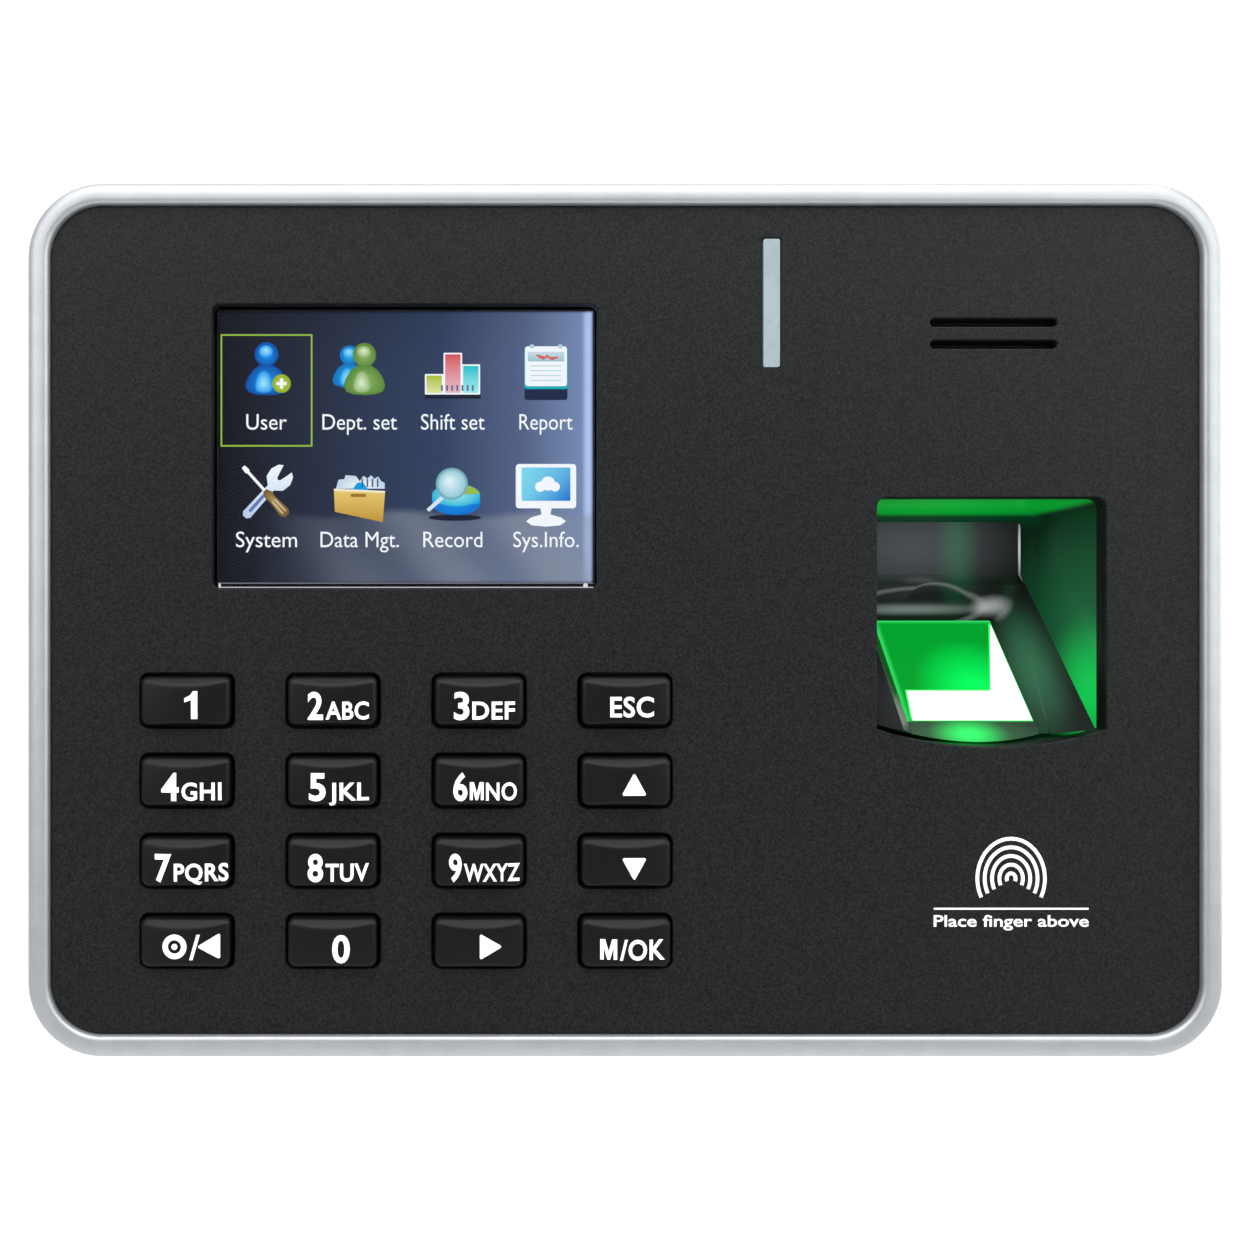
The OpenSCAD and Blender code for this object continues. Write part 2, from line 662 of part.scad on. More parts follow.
module status_led_board() color("darkgreen") {
    translate([light_x, light_y, 0]) difference() {
        slab(light_board_z - 1, light_board_z) rounded(13.4, 22, 1);
        for (x = [-1, 1]) translate([x * light_post_x, 0])
            slab(light_board_z - 2, light_board_z + 1) circle(0.7 + bore_slip);
    }
    for (y = [-6, 0, 6]) translate([light_x - 0.8, light_y + y - 0.8, light_board_z - eps])
        cube([1.6, 1.6, 0.9]);
}

module speaker_frame() color("gray") translate([speaker_x, speaker_y, 0]) rotate_extrude() polygon([
    [0, 24.2], [7.5, 24.2], [7.5, 28], [9, 28], [13.2, 30.4], [speaker_r, 30.4],
    [speaker_r, panel_back - 0.8], [12.8, panel_back - 0.8], [12.8, 31.2], [8.6, 29], [0, 29]
]);

module speaker_cone() color("#303030") translate([speaker_x, speaker_y, 0]) rotate_extrude() polygon(concat(
    [[0, 29.6], [3.6, 29.6], [11, 32], [12.7, 32], [12.7, 32.3], [11, 32.3], [4.4, 30.2]],
    arc(0, 30, 4.2, 1.2, 20, 90, 5)
));

module speaker_gasket() color("#101010") translate([speaker_x, speaker_y, 0])
    tube(speaker_r, 12.4, panel_back - 0.8, panel_back);

module speaker_lead() color("firebrick") for (side = [-0.8, 0.8])
    wire([for (p = speaker_wire) p + [side, -side, 0]], 0.6);

// ---------- main board ----------

module main_board() color("darkgreen") difference() {
    slab(board_z, board_top) translate([main_board_x, main_board_y]) rounded(main_board[0], main_board[1], 2);
    slab(board_z - 1, board_top + 1) translate([0, tab_y - 4]) square([24, 20], center = true);
    for (p = board_posts) translate(p) slab(board_z - 1, board_top + 1) circle(screw_r + 0.1);
}

// Chips as [x, y, across, up, height]
chips = [
    [-34, -6, 17, 17, 1.6], [-10, -10, 12, 18, 1.2], [-62, -28, 12, 18, 1.2], [-46, -32, 9, 8, 1.8],
    [6, -22, 10, 8, 1.5], [-34, -28, 9, 9, 1.4], [4, 2, 6, 8, 1.2], [-12, -34, 8, 8, 3.2]
];

module main_chips() color("#18181a") for (c = chips)
    translate([c[0] - c[2] / 2, c[1] - c[3] / 2, board_top]) cube([c[2], c[3], c[4]]);

// Ribbon and lead sockets as [x, y, across, up]
sockets = [
    [window_x, window_y - 11.6, 24, 5], [keypad_x - 20, keypad_y + 18.6, 16, 5],
    [25.6, 4, 5, 13], [17, 6, 6, 5]
];

module board_connectors() color("ivory") difference() {
    for (s = sockets) translate([s[0] - s[2] / 2, s[1] - s[3] / 2, board_top]) cube([s[2], s[3], 3.2]);
    display_slot();
    keypad_slot();
    translate([22.6, 4 - 4.8, board_top + 1.2]) cube([8, 9.6, 0.6 + 1.4]);
    translate([14, 4, board_top + 1.6]) cube([6.4, 8, 2]);
}

module display_slot() translate([window_x - 10.3, window_y - 13, board_top + 1.2]) cube([20.6, 8, 0.8]);

module keypad_slot() translate([keypad_x - 26.3, keypad_y + 16.5, board_top + 1.2]) cube([12.6, 8, 1]);

module power_jack() color("#161616") translate([power_x, socket_y, board_top]) difference() {
    translate([-power[0] / 2, 0, 0]) cube([power[0], power[2], power[1]]);
    translate([0, -eps, 6]) rotate([-90, 0, 0]) cylinder(h = 10, r = 2.9);
}

module power_jack_pin() color("silver") translate([power_x, socket_y + 1, board_top + 6])
    rotate([-90, 0, 0]) cylinder(h = 9 - eps, r = 1.05);

module ethernet_jack() color("silver") translate([ethernet_x, socket_y, board_top]) difference() {
    translate([-ethernet[0] / 2, 0, 0]) cube([ethernet[0], ethernet[2], ethernet[1]]);
    translate([-5.9, -eps, 1.6]) cube([11.8, 13, 8]);
    translate([-3, -eps, 9]) cube([6, 10, 2.2]);
}

module usb_port() color("silver") translate([usb_x, socket_y, board_top]) difference() {
    translate([-usb[0] / 2, 0, 0]) cube([usb[0], usb[2], usb[1]]);
    translate([-6.25, -eps, 0.7]) cube([12.5, 12, 5.4]);
}

module usb_tongue() color("white") translate([usb_x, socket_y, board_top])
    translate([-5.5, 1, 3.6]) cube([11, 11 - eps, 1.9]);

module coin_cell_holder() color("#202024") translate(cell_at) difference() {
    slab(board_top, board_top + 4) rounded(17, 17, 2);
    slab(board_top + 1, board_top + 5) circle(6.4);
}

module coin_cell() color("silver") translate(cell_at) slab(board_top + 1.02, board_top + 3.2) circle(6.25);

module reset_switch() color("silver") translate([reset_x, 0, 0]) {
    translate([-3, -58, board_top]) cube([6, 4, 6.6]);
}

module reset_button() color("#a02020") translate([reset_x, 0, reset_z]) rotate([-90, 0, 0]) {
    translate([0, 0, -66]) cylinder(h = 7.4, r = 1.2);
    translate([0, 0, -64.1]) cylinder(h = 1.2, r = 2);
}

upright() wall_plate();
upright() plate_lock_screw();
upright() rear_cover();
upright() bezel_frame();
upright() front_panel();
upright() housing_screws();
upright() board_screws();
upright() rating_label();
upright() display_window();
upright() display_gasket();
upright() display_panel();
upright() display_frame();
upright() display_flex();
upright() keypad_mat();
upright() keypad_board();
upright() keypad_contacts();
upright() keypad_ribbon();
upright() sensor_well();
upright() finger_guide();
upright() sensor_prism();
upright() sensor_led_board();
upright() sensor_leds();
upright() sensor_lens();
upright() sensor_camera_board();
upright() sensor_cable();
upright() status_light_guide();
upright() status_led_board();
upright() speaker_frame();
upright() speaker_cone();
upright() speaker_gasket();
upright() speaker_lead();
upright() main_board();
upright() main_chips();
upright() board_connectors();
upright() power_jack();
upright() power_jack_pin();
upright() ethernet_jack();
upright() usb_port();
upright() usb_tongue();
upright() coin_cell_holder();
upright() coin_cell();
upright() reset_switch();
upright() reset_button();
for (k = KEYS) upright() keycap(k[1], k[2]);
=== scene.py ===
"""The looks of a wall-hung fingerprint terminal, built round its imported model.

Shapes are drawn as the terminal is seen from the front: x to the right, y up and z out of the wall, in metres.
stand() turns that into the frame's own axes, where the front faces -Y and +Z is up.
"""
import math

import bmesh
import bpy
from bpy.props import FloatProperty, FloatVectorProperty, IntProperty, PointerProperty
from mathutils import Matrix, Vector


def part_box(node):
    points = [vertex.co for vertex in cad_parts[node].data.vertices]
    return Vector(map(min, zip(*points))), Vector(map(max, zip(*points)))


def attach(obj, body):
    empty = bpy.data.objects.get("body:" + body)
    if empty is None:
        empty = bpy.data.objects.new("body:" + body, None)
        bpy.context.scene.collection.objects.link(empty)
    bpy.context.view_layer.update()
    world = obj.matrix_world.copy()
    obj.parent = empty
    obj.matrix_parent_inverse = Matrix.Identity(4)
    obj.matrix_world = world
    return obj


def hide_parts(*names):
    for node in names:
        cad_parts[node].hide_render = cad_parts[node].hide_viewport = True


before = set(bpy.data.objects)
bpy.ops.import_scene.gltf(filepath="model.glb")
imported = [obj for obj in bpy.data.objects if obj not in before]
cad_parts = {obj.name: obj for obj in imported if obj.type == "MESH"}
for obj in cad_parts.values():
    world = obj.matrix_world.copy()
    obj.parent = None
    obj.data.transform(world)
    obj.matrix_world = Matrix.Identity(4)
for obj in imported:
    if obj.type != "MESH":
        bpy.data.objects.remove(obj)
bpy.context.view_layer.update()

bl_info = {
    "name": "Fingerprint Terminal",
    "version": (1, 0, 0),
    "blender": (4, 5, 0),
    "location": "View3D > Sidebar > Terminal",
    "description": "Builds the visible pieces and finishes of a fingerprint terminal round its frame",
    "category": "Object",
}

HOUSING = "housing"
MM = 0.001
LAYER = 0.012 * MM  # thickness of one layer of a picture
FOIL = 0.05 * MM  # thickness of printed signs and letters
ABOVE = 0.005 * MM  # how far the mark's print stands proud of the panel
STAND = Matrix(((1, 0, 0, 0), (0, 0, -1, 0), (0, 1, 0, 0), (0, 0, 0, 1)))


class Box:
    """A node's box as seen from the front."""

    def __init__(self, node):
        low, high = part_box(node)
        self.left, self.right = low[0], high[0]
        self.bottom, self.top = low[2], high[2]
        self.back, self.front = -high[1], -low[1]
        self.x, self.y = (self.left + self.right) / 2, (self.bottom + self.top) / 2
        self.width, self.height = self.right - self.left, self.top - self.bottom


# Each key's figure, its letters, and the width and the middle of both in millimetres
KEYS = {
    "key_1": ("1", "", 1.95, 1.1), "key_2": ("2", "ABC", 9.2, 1.0), "key_3": ("3", "DEF", 9.2, 0.8),
    "key_esc": ("", "ESC", 6.6, 0.8), "key_4": ("4", "GHI", 9.0, 1.1), "key_5": ("5", "JKL", 9.0, 1.1),
    "key_6": ("6", "MNO", 9.6, 0.9), "key_up": ("up", "", 3.5, 1.1), "key_7": ("7", "PQRS", 11.0, 1.1),
    "key_8": ("8", "TUV", 9.2, 1.0), "key_9": ("9", "WXYZ", 10.7, 0.8), "key_down": ("down", "", 3.5, 1.1),
    "key_left": ("power", "", 8.6, 1.1), "key_0": ("0", "", 2.65, 1.45), "key_right": ("right", "", 3.2, 1.7),
    "key_ok": ("", "M/OK", 9.8, 0.9),
}


# ---------- settings ----------

def length(name, description, default):
    """A length setting, with its default in millimetres."""
    return FloatProperty(name=name, description=description, default=default * MM, unit="LENGTH", precision=5)


def pair(name, description, *default):
    """A setting of two lengths, with their defaults in millimetres."""
    return FloatVectorProperty(name=name, description=description, default=[v * MM for v in default], size=2,
                               unit="LENGTH")


def colour(name, description, default):
    return FloatVectorProperty(name=name, description=description, default=default, subtype="COLOR", size=3,
                               min=0, max=1)


class HousingSettings(bpy.types.PropertyGroup):
    """Sizes and colours of the panel and the silver frame."""

    frame_width: length("Frame width", "Width of the silver frame from the front", 3.8)
    frame_corner: length("Frame corner", "Outer corner radius of the silver frame", 11.8)
    frame_fall: length("Frame fall", "How far the frame's face falls from its crest to its side", 3.4)
    panel_gap: length("Panel gap", "Gap between the panel and the frame", 0.15)
    skin: length("Skin", "Depth of the panel's finished face", 1.0)
    edge: length("Edge radius", "Rounding of the panel's edges and openings", 0.22)
    well_width: length("Sensor opening", "Width of the opening over the finger sensor", 34.9)
    well_arc: length("Opening's arc", "Radius of that opening's lower edge", 55.8)
    slot_width: length("Slot length", "Length of a speaker slot", 19.4)
    slot_height: length("Slot height", "Height of a speaker slot", 1.3)
    slot_pitch: length("Slot spacing", "Distance between the speaker slots", 3.35)
    panel_colour: colour("Panel", "Charcoal of the front panel", (0.0066, 0.0073, 0.0077))
    silver: colour("Silver", "Colour of the silver frame", (0.42, 0.43, 0.44))


class KeypadSettings(bpy.types.PropertyGroup):
    """Sizes of the keys and their legends."""

    flange: length("Flange", "How far a key's hidden flange reaches beyond its cap", 1.1)
    gap: length("Gap", "Gap round a key", 0.5)
    rise: length("Rise", "Height of a key's ends above the panel", 1.2)
    crown: length("Crown", "Extra height of a key's middle", 0.7)
    digit: length("Digit height", "Height of the large figures", 4.2)
    letter: length("Letter height", "Height of the small letters", 2.7)
    baseline: length("Baseline", "Height of the legends' baseline from a key's middle", -2.65)
    key_colour: colour("Keys", "Satin black of the keys", (0.0045, 0.0045, 0.0052))


class DisplaySettings(bpy.types.PropertyGroup):
    """Layout and brightness of the menu picture."""

    pitch_x: length("Column spacing", "Distance from one icon to the next", 14.5)
    icon_rows: pair("Icon rows", "Heights of the two icon rows from the middle", 12.6, -6.6)
    label_rows: pair("Label rows", "Heights of the two rows of words", 3.2, -15.1)
    letter: length("Letter height", "Height of a label's capitals", 2.4)
    lit_width: length("Lit width", "Width of the lit area", 58.8)
    lit_height: length("Lit height", "Height of the lit area", 42.3)
    lit_shift: pair("Lit shift", "Middle of the lit area from the display's own", -0.3, 0.55)
    brightness: FloatProperty(name="Brightness", description="Brightness of the lit picture", default=1.0, min=0)


class SensorSettings(bpy.types.PropertyGroup):
    """The lit glass and its recess."""

    slope: FloatProperty(name="Slope", description="Angle of the glass from the panel", default=math.radians(40),
                         subtype="ANGLE")
    glass_length: length("Glass length", "Length of the glass along its slope", 21.2)
    glow: colour("Glow", "Colour of the sensor's light", (0.0, 0.36, 0.025))


class MarkSettings(bpy.types.PropertyGroup):
    """The plain mark in the lower right corner."""

    drop: length("Drop", "Height of the mark's line below the panel's middle", 44.0)
    width: length("Width", "Length of the mark's line", 23.6)
    arcs: IntProperty(name="Arcs", description="Number of ridges in the fingerprint mark", default=5, min=2)
    stroke: length("Stroke", "Width of a ridge", 0.55)


class StageSettings(bpy.types.PropertyGroup):
    """Camera and lights."""

    distance: length("Distance", "From the lens to the front panel", 152.4)
    across: length("Across", "The lens's place to the right of the panel's middle", -22.9)
    up: length("Up", "The lens's height above the panel's middle", -3.05)
    lens: FloatProperty(name="Lens", description="Focal length on a 36 mm sensor", default=28.8)


# ---------- shapes ----------

def stand(points):
    """Points seen from the front, in the frame's axes."""
    return [Vector((x, -z, y)) for x, y, z in points]


def arc(cx, cy, r, start, end, steps, ry=None):
    """Points along an arc, in degrees, counter-clockwise from the right."""
    out = []
    for i in range(steps + 1):
        a = math.radians(start + (end - start) * i / steps)
        out.append((cx + r * math.cos(a), cy + (r if ry is None else ry) * math.sin(a)))
    return out


def rounded(cx, cy, w, h, r, steps=8, low_r=None):
    """A rounded rectangle, counter-clockwise from its lower right corner."""
    q = r if low_r is None else low_r
    right, left, top, low = cx + w / 2, cx - w / 2, cy + h / 2, cy - h / 2
    return (arc(right - q, low + q, q, 270, 360, steps) + arc(right - r, top - r, r, 0, 90, steps)
            + arc(left + r, top - r, r, 90, 180, steps) + arc(left + q, low + q, q, 180, 270, steps))


def ellipse(cx, cy, rx, ry=None, steps=36):
    return arc(cx, cy, rx, 0, 360, steps, rx if ry is None else ry)[:-1]


def mesh_of(name, verts, faces, smooth=True):
    mesh = bpy.data.meshes.new(name)
    mesh.from_pydata([tuple(v) for v in verts], [], faces)
    mesh.validate()
    mesh.polygons.foreach_set("use_smooth", [smooth] * len(mesh.polygons))
    mesh.update()
    return mesh


def placed(name, data):
    """A new object in the scene."""
    made = bpy.data.objects.new(name, data)
    bpy.context.scene.collection.objects.link(made)
    return made


def piece(name, mesh, material, body=HOUSING, replaces=()):
    """A finished piece that rides on a body."""
    made = placed(name, mesh)
    if material is not None:
        made.data.materials.clear()
        made.data.materials.append(material)
    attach(made, body)
    if replaces:
        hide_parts(*replaces)
    return made


def evaluated_mesh(source, matrix=Matrix.Identity(4)):
    """A plain mesh of what an object looks like with its modifiers or its curve filled. The object goes away."""
    bpy.context.view_layer.update()
    graph = bpy.context.evaluated_depsgraph_get()
    mesh = bpy.data.meshes.new_from_object(source.evaluated_get(graph), depsgraph=graph)
    data = source.data
    bpy.data.objects.remove(source)
    (bpy.data.curves if isinstance(data, bpy.types.Curve) else bpy.data.meshes).remove(data)
    mesh.transform(matrix)
    return mesh


def flat_curve(name, outlines, half_depth):
    """A filled flat curve with holes. The outer outline comes first."""
    curve = bpy.data.curves.new(name, "CURVE")
    curve.dimensions, curve.fill_mode, curve.extrude = "2D", "BOTH", half_depth
    for outline in outlines:
        spline = curve.splines.new("POLY")
        spline.points.add(len(outline) - 1)
        for point, (x, y) in zip(spline.points, outline):
            point.co = (x, y, 0, 1)
        spline.use_cyclic_u = True
    return curve


def plate(name, outlines, back, front, edge):
    """A flat plate with holes and rounded edges. The outlines are given from the front, the outer one first."""
    curve = flat_curve(name, outlines, (front - back) / 2 - edge)
    curve.bevel_depth, curve.offset, curve.bevel_resolution = edge, -edge, 3
    mesh = evaluated_mesh(placed(name, curve), STAND @ Matrix.Translation((0, 0, (back + front) / 2)))
    clean(mesh)
    return mesh


def cad_work(name):
    """A CAD node's mesh with its doubles merged, ready to edit."""
    work = bmesh.new()
    work.from_mesh(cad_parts[name].data)
    bmesh.ops.remove_doubles(work, verts=work.verts, dist=1e-7)
    return work


def clean(mesh, smooth_angle=35):
    """Merges doubles, turns faces outwards and marks sharp edges."""
    work = bmesh.new()
    work.from_mesh(mesh)
    bmesh.ops.remove_doubles(work, verts=work.verts, dist=2e-7)
    bmesh.ops.recalc_face_normals(work, faces=work.faces)
    for face in work.faces:
        face.smooth = True
    for edge in work.edges:
        edge.smooth = len(edge.link_faces) == 2 and edge.calc_face_angle(0) < math.radians(smooth_angle)
    work.to_mesh(mesh)
    work.free()


def rest_normals(mesh, angle=40):
    """Weights the normals by area, so that a wide flat stays flat beside a small rounding."""
    limit = math.cos(math.radians(angle))
    around = [[] for _ in mesh.vertices]
    for face in mesh.polygons:
        for v in face.vertices:
            around[v].append((face.normal.copy(), face.area))
    normals = []
    for face in mesh.polygons:
        for v in face.vertices:
            total = Vector()
            for normal, area in around[v]:
                if normal.dot(face.normal) > limit:
                    total += normal * area
            normals.append(total.normalized())
    mesh.normals_split_custom_set(normals)


def sliced(mesh, step_x, step_y):
    """Cuts a flat mesh into small rectangles, so that it can follow a curved surface."""
    left, right, low, high = extent(mesh)
    work = bmesh.new()
    work.from_mesh(mesh)
    for start, end, step, normal in ((left, right, step_x, Vector((1, 0, 0))),
                                     (low, high, step_y, Vector((0, 1, 0)))):
        for i in range(1, math.ceil((end - start) / step)):
            everything = work.verts[:] + work.edges[:] + work.faces[:]
            bmesh.ops.bisect_plane(work, geom=everything, plane_co=normal * (start + i * step), plane_no=normal,
                                   dist=1e-8)
    work.to_mesh(mesh)
    work.free()


def text_mesh(words, height, bold=0.0, spacing=1.0, narrow=1.0, thickness=FOIL):
    """Flat lettering, its left end at x = 0 and its baseline at y = 0, seen from the front."""
    def letters(body):
        curve = bpy.data.curves.new("letters", "FONT")
        curve.body, curve.size, curve.offset, curve.space_character = body, 1, bold, spacing
        curve.extrude, curve.resolution_u = thickness / height / 2, 4
        return evaluated_mesh(placed("letters", curve))

    capital = letters("E")
    tall = max(v.co.y for v in capital.vertices) - min(v.co.y for v in capital.vertices)
    bpy.data.meshes.remove(capital)
    mesh = letters(words)
    left = min(v.co.x for v in mesh.vertices)
    k = height / tall
    mesh.transform(Matrix.Diagonal((k * narrow, k, k, 1)) @ Matrix.Translation((-left, 0, 0)))
    return mesh


def extent(mesh):
    xs = [v.co.x for v in mesh.vertices]
    ys = [v.co.y for v in mesh.vertices]
    return min(xs), max(xs), min(ys), max(ys)


def widen(mesh, width):
    """Stretches a mesh sideways to a width."""
    left, right, _, _ = extent(mesh)
    mesh.transform(Matrix.Diagonal((width / (right - left), 1, 1, 1)))


class Picture:
    """Thin coloured plates laid over each other, with a colour at each point."""

    def __init__(self):
        self.verts, self.faces, self.tints = [], [], []

    def plate(self, points, tint, layer, centre=None, middle=None):
        """A closed plate that fans out from its centre. tint is a colour, or a function of (x, y)."""
        shade = tint if callable(tint) else (lambda x, y: tint)
        n = len(points)
        cx = sum(p[0] for p in points) / n if centre is None else centre[0]
        cy = sum(p[1] for p in points) / n if centre is None else centre[1]
        top = layer * LAYER
        first = len(self.verts)
        for z in (top, 0.0):
            self.verts += [(x, y, z) for x, y in points] + [(cx, cy, z)]
            self.tints += [shade(x, y) for x, y in points] + [middle or shade(cx, cy)]
        low = first + n + 1
        for i in range(n):
            j = (i + 1) % n
            self.faces.append((first + i, first + j, first + n))
            self.faces.append((low + j, low + i, low + n))
            self.faces.append((first + j, first + i, low + i, low + j))

    def grid(self, left, right, bottom, top, columns, rows, tint, layer):
        """A closed sheet of squares, for a colour that changes all over it."""
        z, first = layer * LAYER, len(self.verts)
        wide, n = columns + 1, (columns + 1) * (rows + 1)
        for height in (z, 0.0):
            for j in range(rows + 1):
                for i in range(columns + 1):
                    x = left + (right - left) * i / columns
                    y = bottom + (top - bottom) * j / rows
                    self.verts.append((x, y, height))
                    self.tints.append(tint(x, y))
        for j in range(rows):
            for i in range(columns):
                a = first + j * wide + i
                self.faces.append((a, a + 1, a + wide + 1, a + wide))
                self.faces.append((a + n, a + n + wide, a + n + wide + 1, a + n + 1))
        rim = ([i for i in range(wide)] + [j * wide + columns for j in range(1, rows + 1)]
               + [rows * wide + i for i in range(columns - 1, -1, -1)] + [j * wide for j in range(rows - 1, 0, -1)])
        for k, a in enumerate(rim):
            b = rim[(k + 1) % len(rim)]
            self.faces.append((first + b, first + a, first + n + a, first + n + b))

    def band(self, outer, inner, tint, layer):
        """A closed frame between two outlines of the same number of points."""
        z, first, n = layer * LAYER, len(self.verts), len(outer)
        for ring, height in ((outer, z), (inner, z), (inner, 0.0), (outer, 0.0)):
            self.verts += [(x, y, height) for x, y in ring]
            self.tints += [tint] * n
        for i in range(n):
            j = (i + 1) % n
            for k in range(4):
                a, b = first + k * n, first + (k + 1) % 4 * n
                self.faces.append((a + i, a + j, b + j, b + i))

    def words(self, mesh, x, y, tint, layer):
        first = len(self.verts)
        for v in mesh.vertices:
            self.verts.append((v.co.x + x, v.co.y + y, layer * LAYER + v.co.z))
            self.tints.append(tint)
        self.faces += [tuple(first + i for i in p.vertices) for p in mesh.polygons]
        bpy.data.meshes.remove(mesh)

    def mesh(self, name, matrix):
        """The finished picture, placed by a matrix from the picture's own plane."""
        mesh = mesh_of(name, [matrix @ Vector(v) for v in self.verts], self.faces, smooth=False)
        layer = mesh.color_attributes.new("tint", "FLOAT_COLOR", "POINT")
        for slot, tint in zip(layer.data, self.tints):
            slot.color = (*tint, 1.0)
        return mesh


# ---------- materials ----------

def node(tree, kind, **values):
    """A new shader node with its sockets or properties set."""
    made = tree.nodes.new(kind)
    for key, value in values.items():
        if key in made.inputs:
            made.inputs[key].default_value = value
        else:
            setattr(made, key, value)
    return made


def maths(tree, operation, *values):
    """A maths node with the values that aren't None set, in order."""
    made = node(tree, "ShaderNodeMath", operation=operation)
    for socket, value in zip(made.inputs, values):
        if value is not None:
            socket.default_value = value
    return made


def wire(tree, *rows):
    """Links sockets, from rows of (node, its output, node, its input)."""
    for source, output, target, entry in rows:
        tree.links.new(source.outputs[output], target.inputs[entry])


def new_group(name, kind, inputs, outputs):
    """A node group with sockets from (label, type) or (label, type, default), and its two end nodes."""
    tree = bpy.data.node_groups.new(name, kind)
    for way, rows in (("OUTPUT", outputs), ("INPUT", inputs)):
        for label, socket, *default in rows:
            item = tree.interface.new_socket(name=label, in_out=way, socket_type="NodeSocket" + socket)
            if default:
                item.default_value = default[0]
    return tree, tree.nodes.new("NodeGroupInput"), tree.nodes.new("NodeGroupOutput")


def grain_group():
    """Two depths of random texture, used by every moulded, painted and metal finish."""
    name = "Surface Grain"
    if name in bpy.data.node_groups:
        return bpy.data.node_groups[name]
    tree, given, out = new_group(
        name, "ShaderNodeTree",
        (("Light", "Color"), ("Dark", "Color"), ("Grain Scale", "Float"), ("Drift Scale", "Float"),
         ("Rough Low", "Float"), ("Rough High", "Float")),
        (("Colour", "Color"), ("Roughness", "Float"), ("Height", "Float")))
    place = tree.nodes.new("ShaderNodeTexCoord")
    fine = node(tree, "ShaderNodeTexNoise", Detail=3.0, Roughness=0.6)
    broad = node(tree, "ShaderNodeTexNoise", Detail=2.0, Roughness=0.5)
    spread = node(tree, "ShaderNodeMapRange")
    spread.inputs["From Min"].default_value, spread.inputs["From Max"].default_value = 0.42, 0.58
    blend = node(tree, "ShaderNodeMix", data_type="RGBA")
    both, half = maths(tree, "MULTIPLY_ADD", None, 0.5), maths(tree, "MULTIPLY", None, 0.5)
    rough = node(tree, "ShaderNodeMapRange")
    wire(tree, (place, "Object", fine, "Vector"), (place, "Object", broad, "Vector"),
         (given, "Grain Scale", fine, "Scale"), (given, "Drift Scale", broad, "Scale"), (fine, "Fac", both, 0),
         (broad, "Fac", half, 0), (half, 0, both, 2), (both, 0, spread, "Value"),
         (spread, "Result", blend, "Factor"), (given, "Dark", blend, 6), (given, "Light", blend, 7),
         (fine, "Fac", rough, "Value"), (given, "Rough Low", rough, "To Min"),
         (given, "Rough High", rough, "To Max"), (blend, 2, out, "Colour"), (rough, "Result", out, "Roughness"),
         (fine, "Fac", out, "Height"))
    return tree


def finish(name, light, dark=None, rough=(0.4, 0.5), grain=2500.0, drift=60.0, bump=0.0, **shader):
    """A finish with fine grain. Values that are the same all over are set on the shader itself."""
    name = "Terminal " + name
    if name in bpy.data.materials:
        return bpy.data.materials[name]
    material = bpy.data.materials.new(name)
    material.use_nodes = True
    tree = material.node_tree
    principled = tree.nodes["Principled BSDF"]
    surface = tree.nodes.new("ShaderNodeGroup")
    surface.node_tree = grain_group()
    dark = dark or tuple(0.8 * c for c in light)
    for label, value in (("Light", (*light, 1)), ("Dark", (*dark, 1)), ("Grain Scale", grain),
                         ("Drift Scale", drift), ("Rough Low", rough[0]), ("Rough High", rough[1])):
        surface.inputs[label].default_value = value
    wire(tree, (surface, "Colour", principled, "Base Color"), (surface, "Roughness", principled, "Roughness"))
    if bump:
        relief = node(tree, "ShaderNodeBump", Strength=bump, Distance=0.05 * MM)
        wire(tree, (surface, "Height", relief, "Height"), (relief, "Normal", principled, "Normal"))
    for label, value in shader.items():
        principled.inputs[label.replace("_", " ")].default_value = value
    return material


def shader_of(material):
    return material.node_tree.nodes["Principled BSDF"]


def lit_picture(name, strength):
    """Light from the colours stored on a picture's points."""
    material = finish(name, (0.002, 0.002, 0.003), rough=(0.4, 0.5), Emission_Strength=strength,
                      Specular_IOR_Level=0.02)
    tree = material.node_tree
    tint = node(tree, "ShaderNodeAttribute", attribute_name="tint")
    wire(tree, (tint, "Color", shader_of(material), "Emission Color"))
    return material


def dress(looks, table):
    """Gives CAD nodes their finish, from a table of finishes and the names of their nodes."""
    for look, names in table.items():
        for name in names.split():
            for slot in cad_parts[name].material_slots:
                slot.material = looks[look]


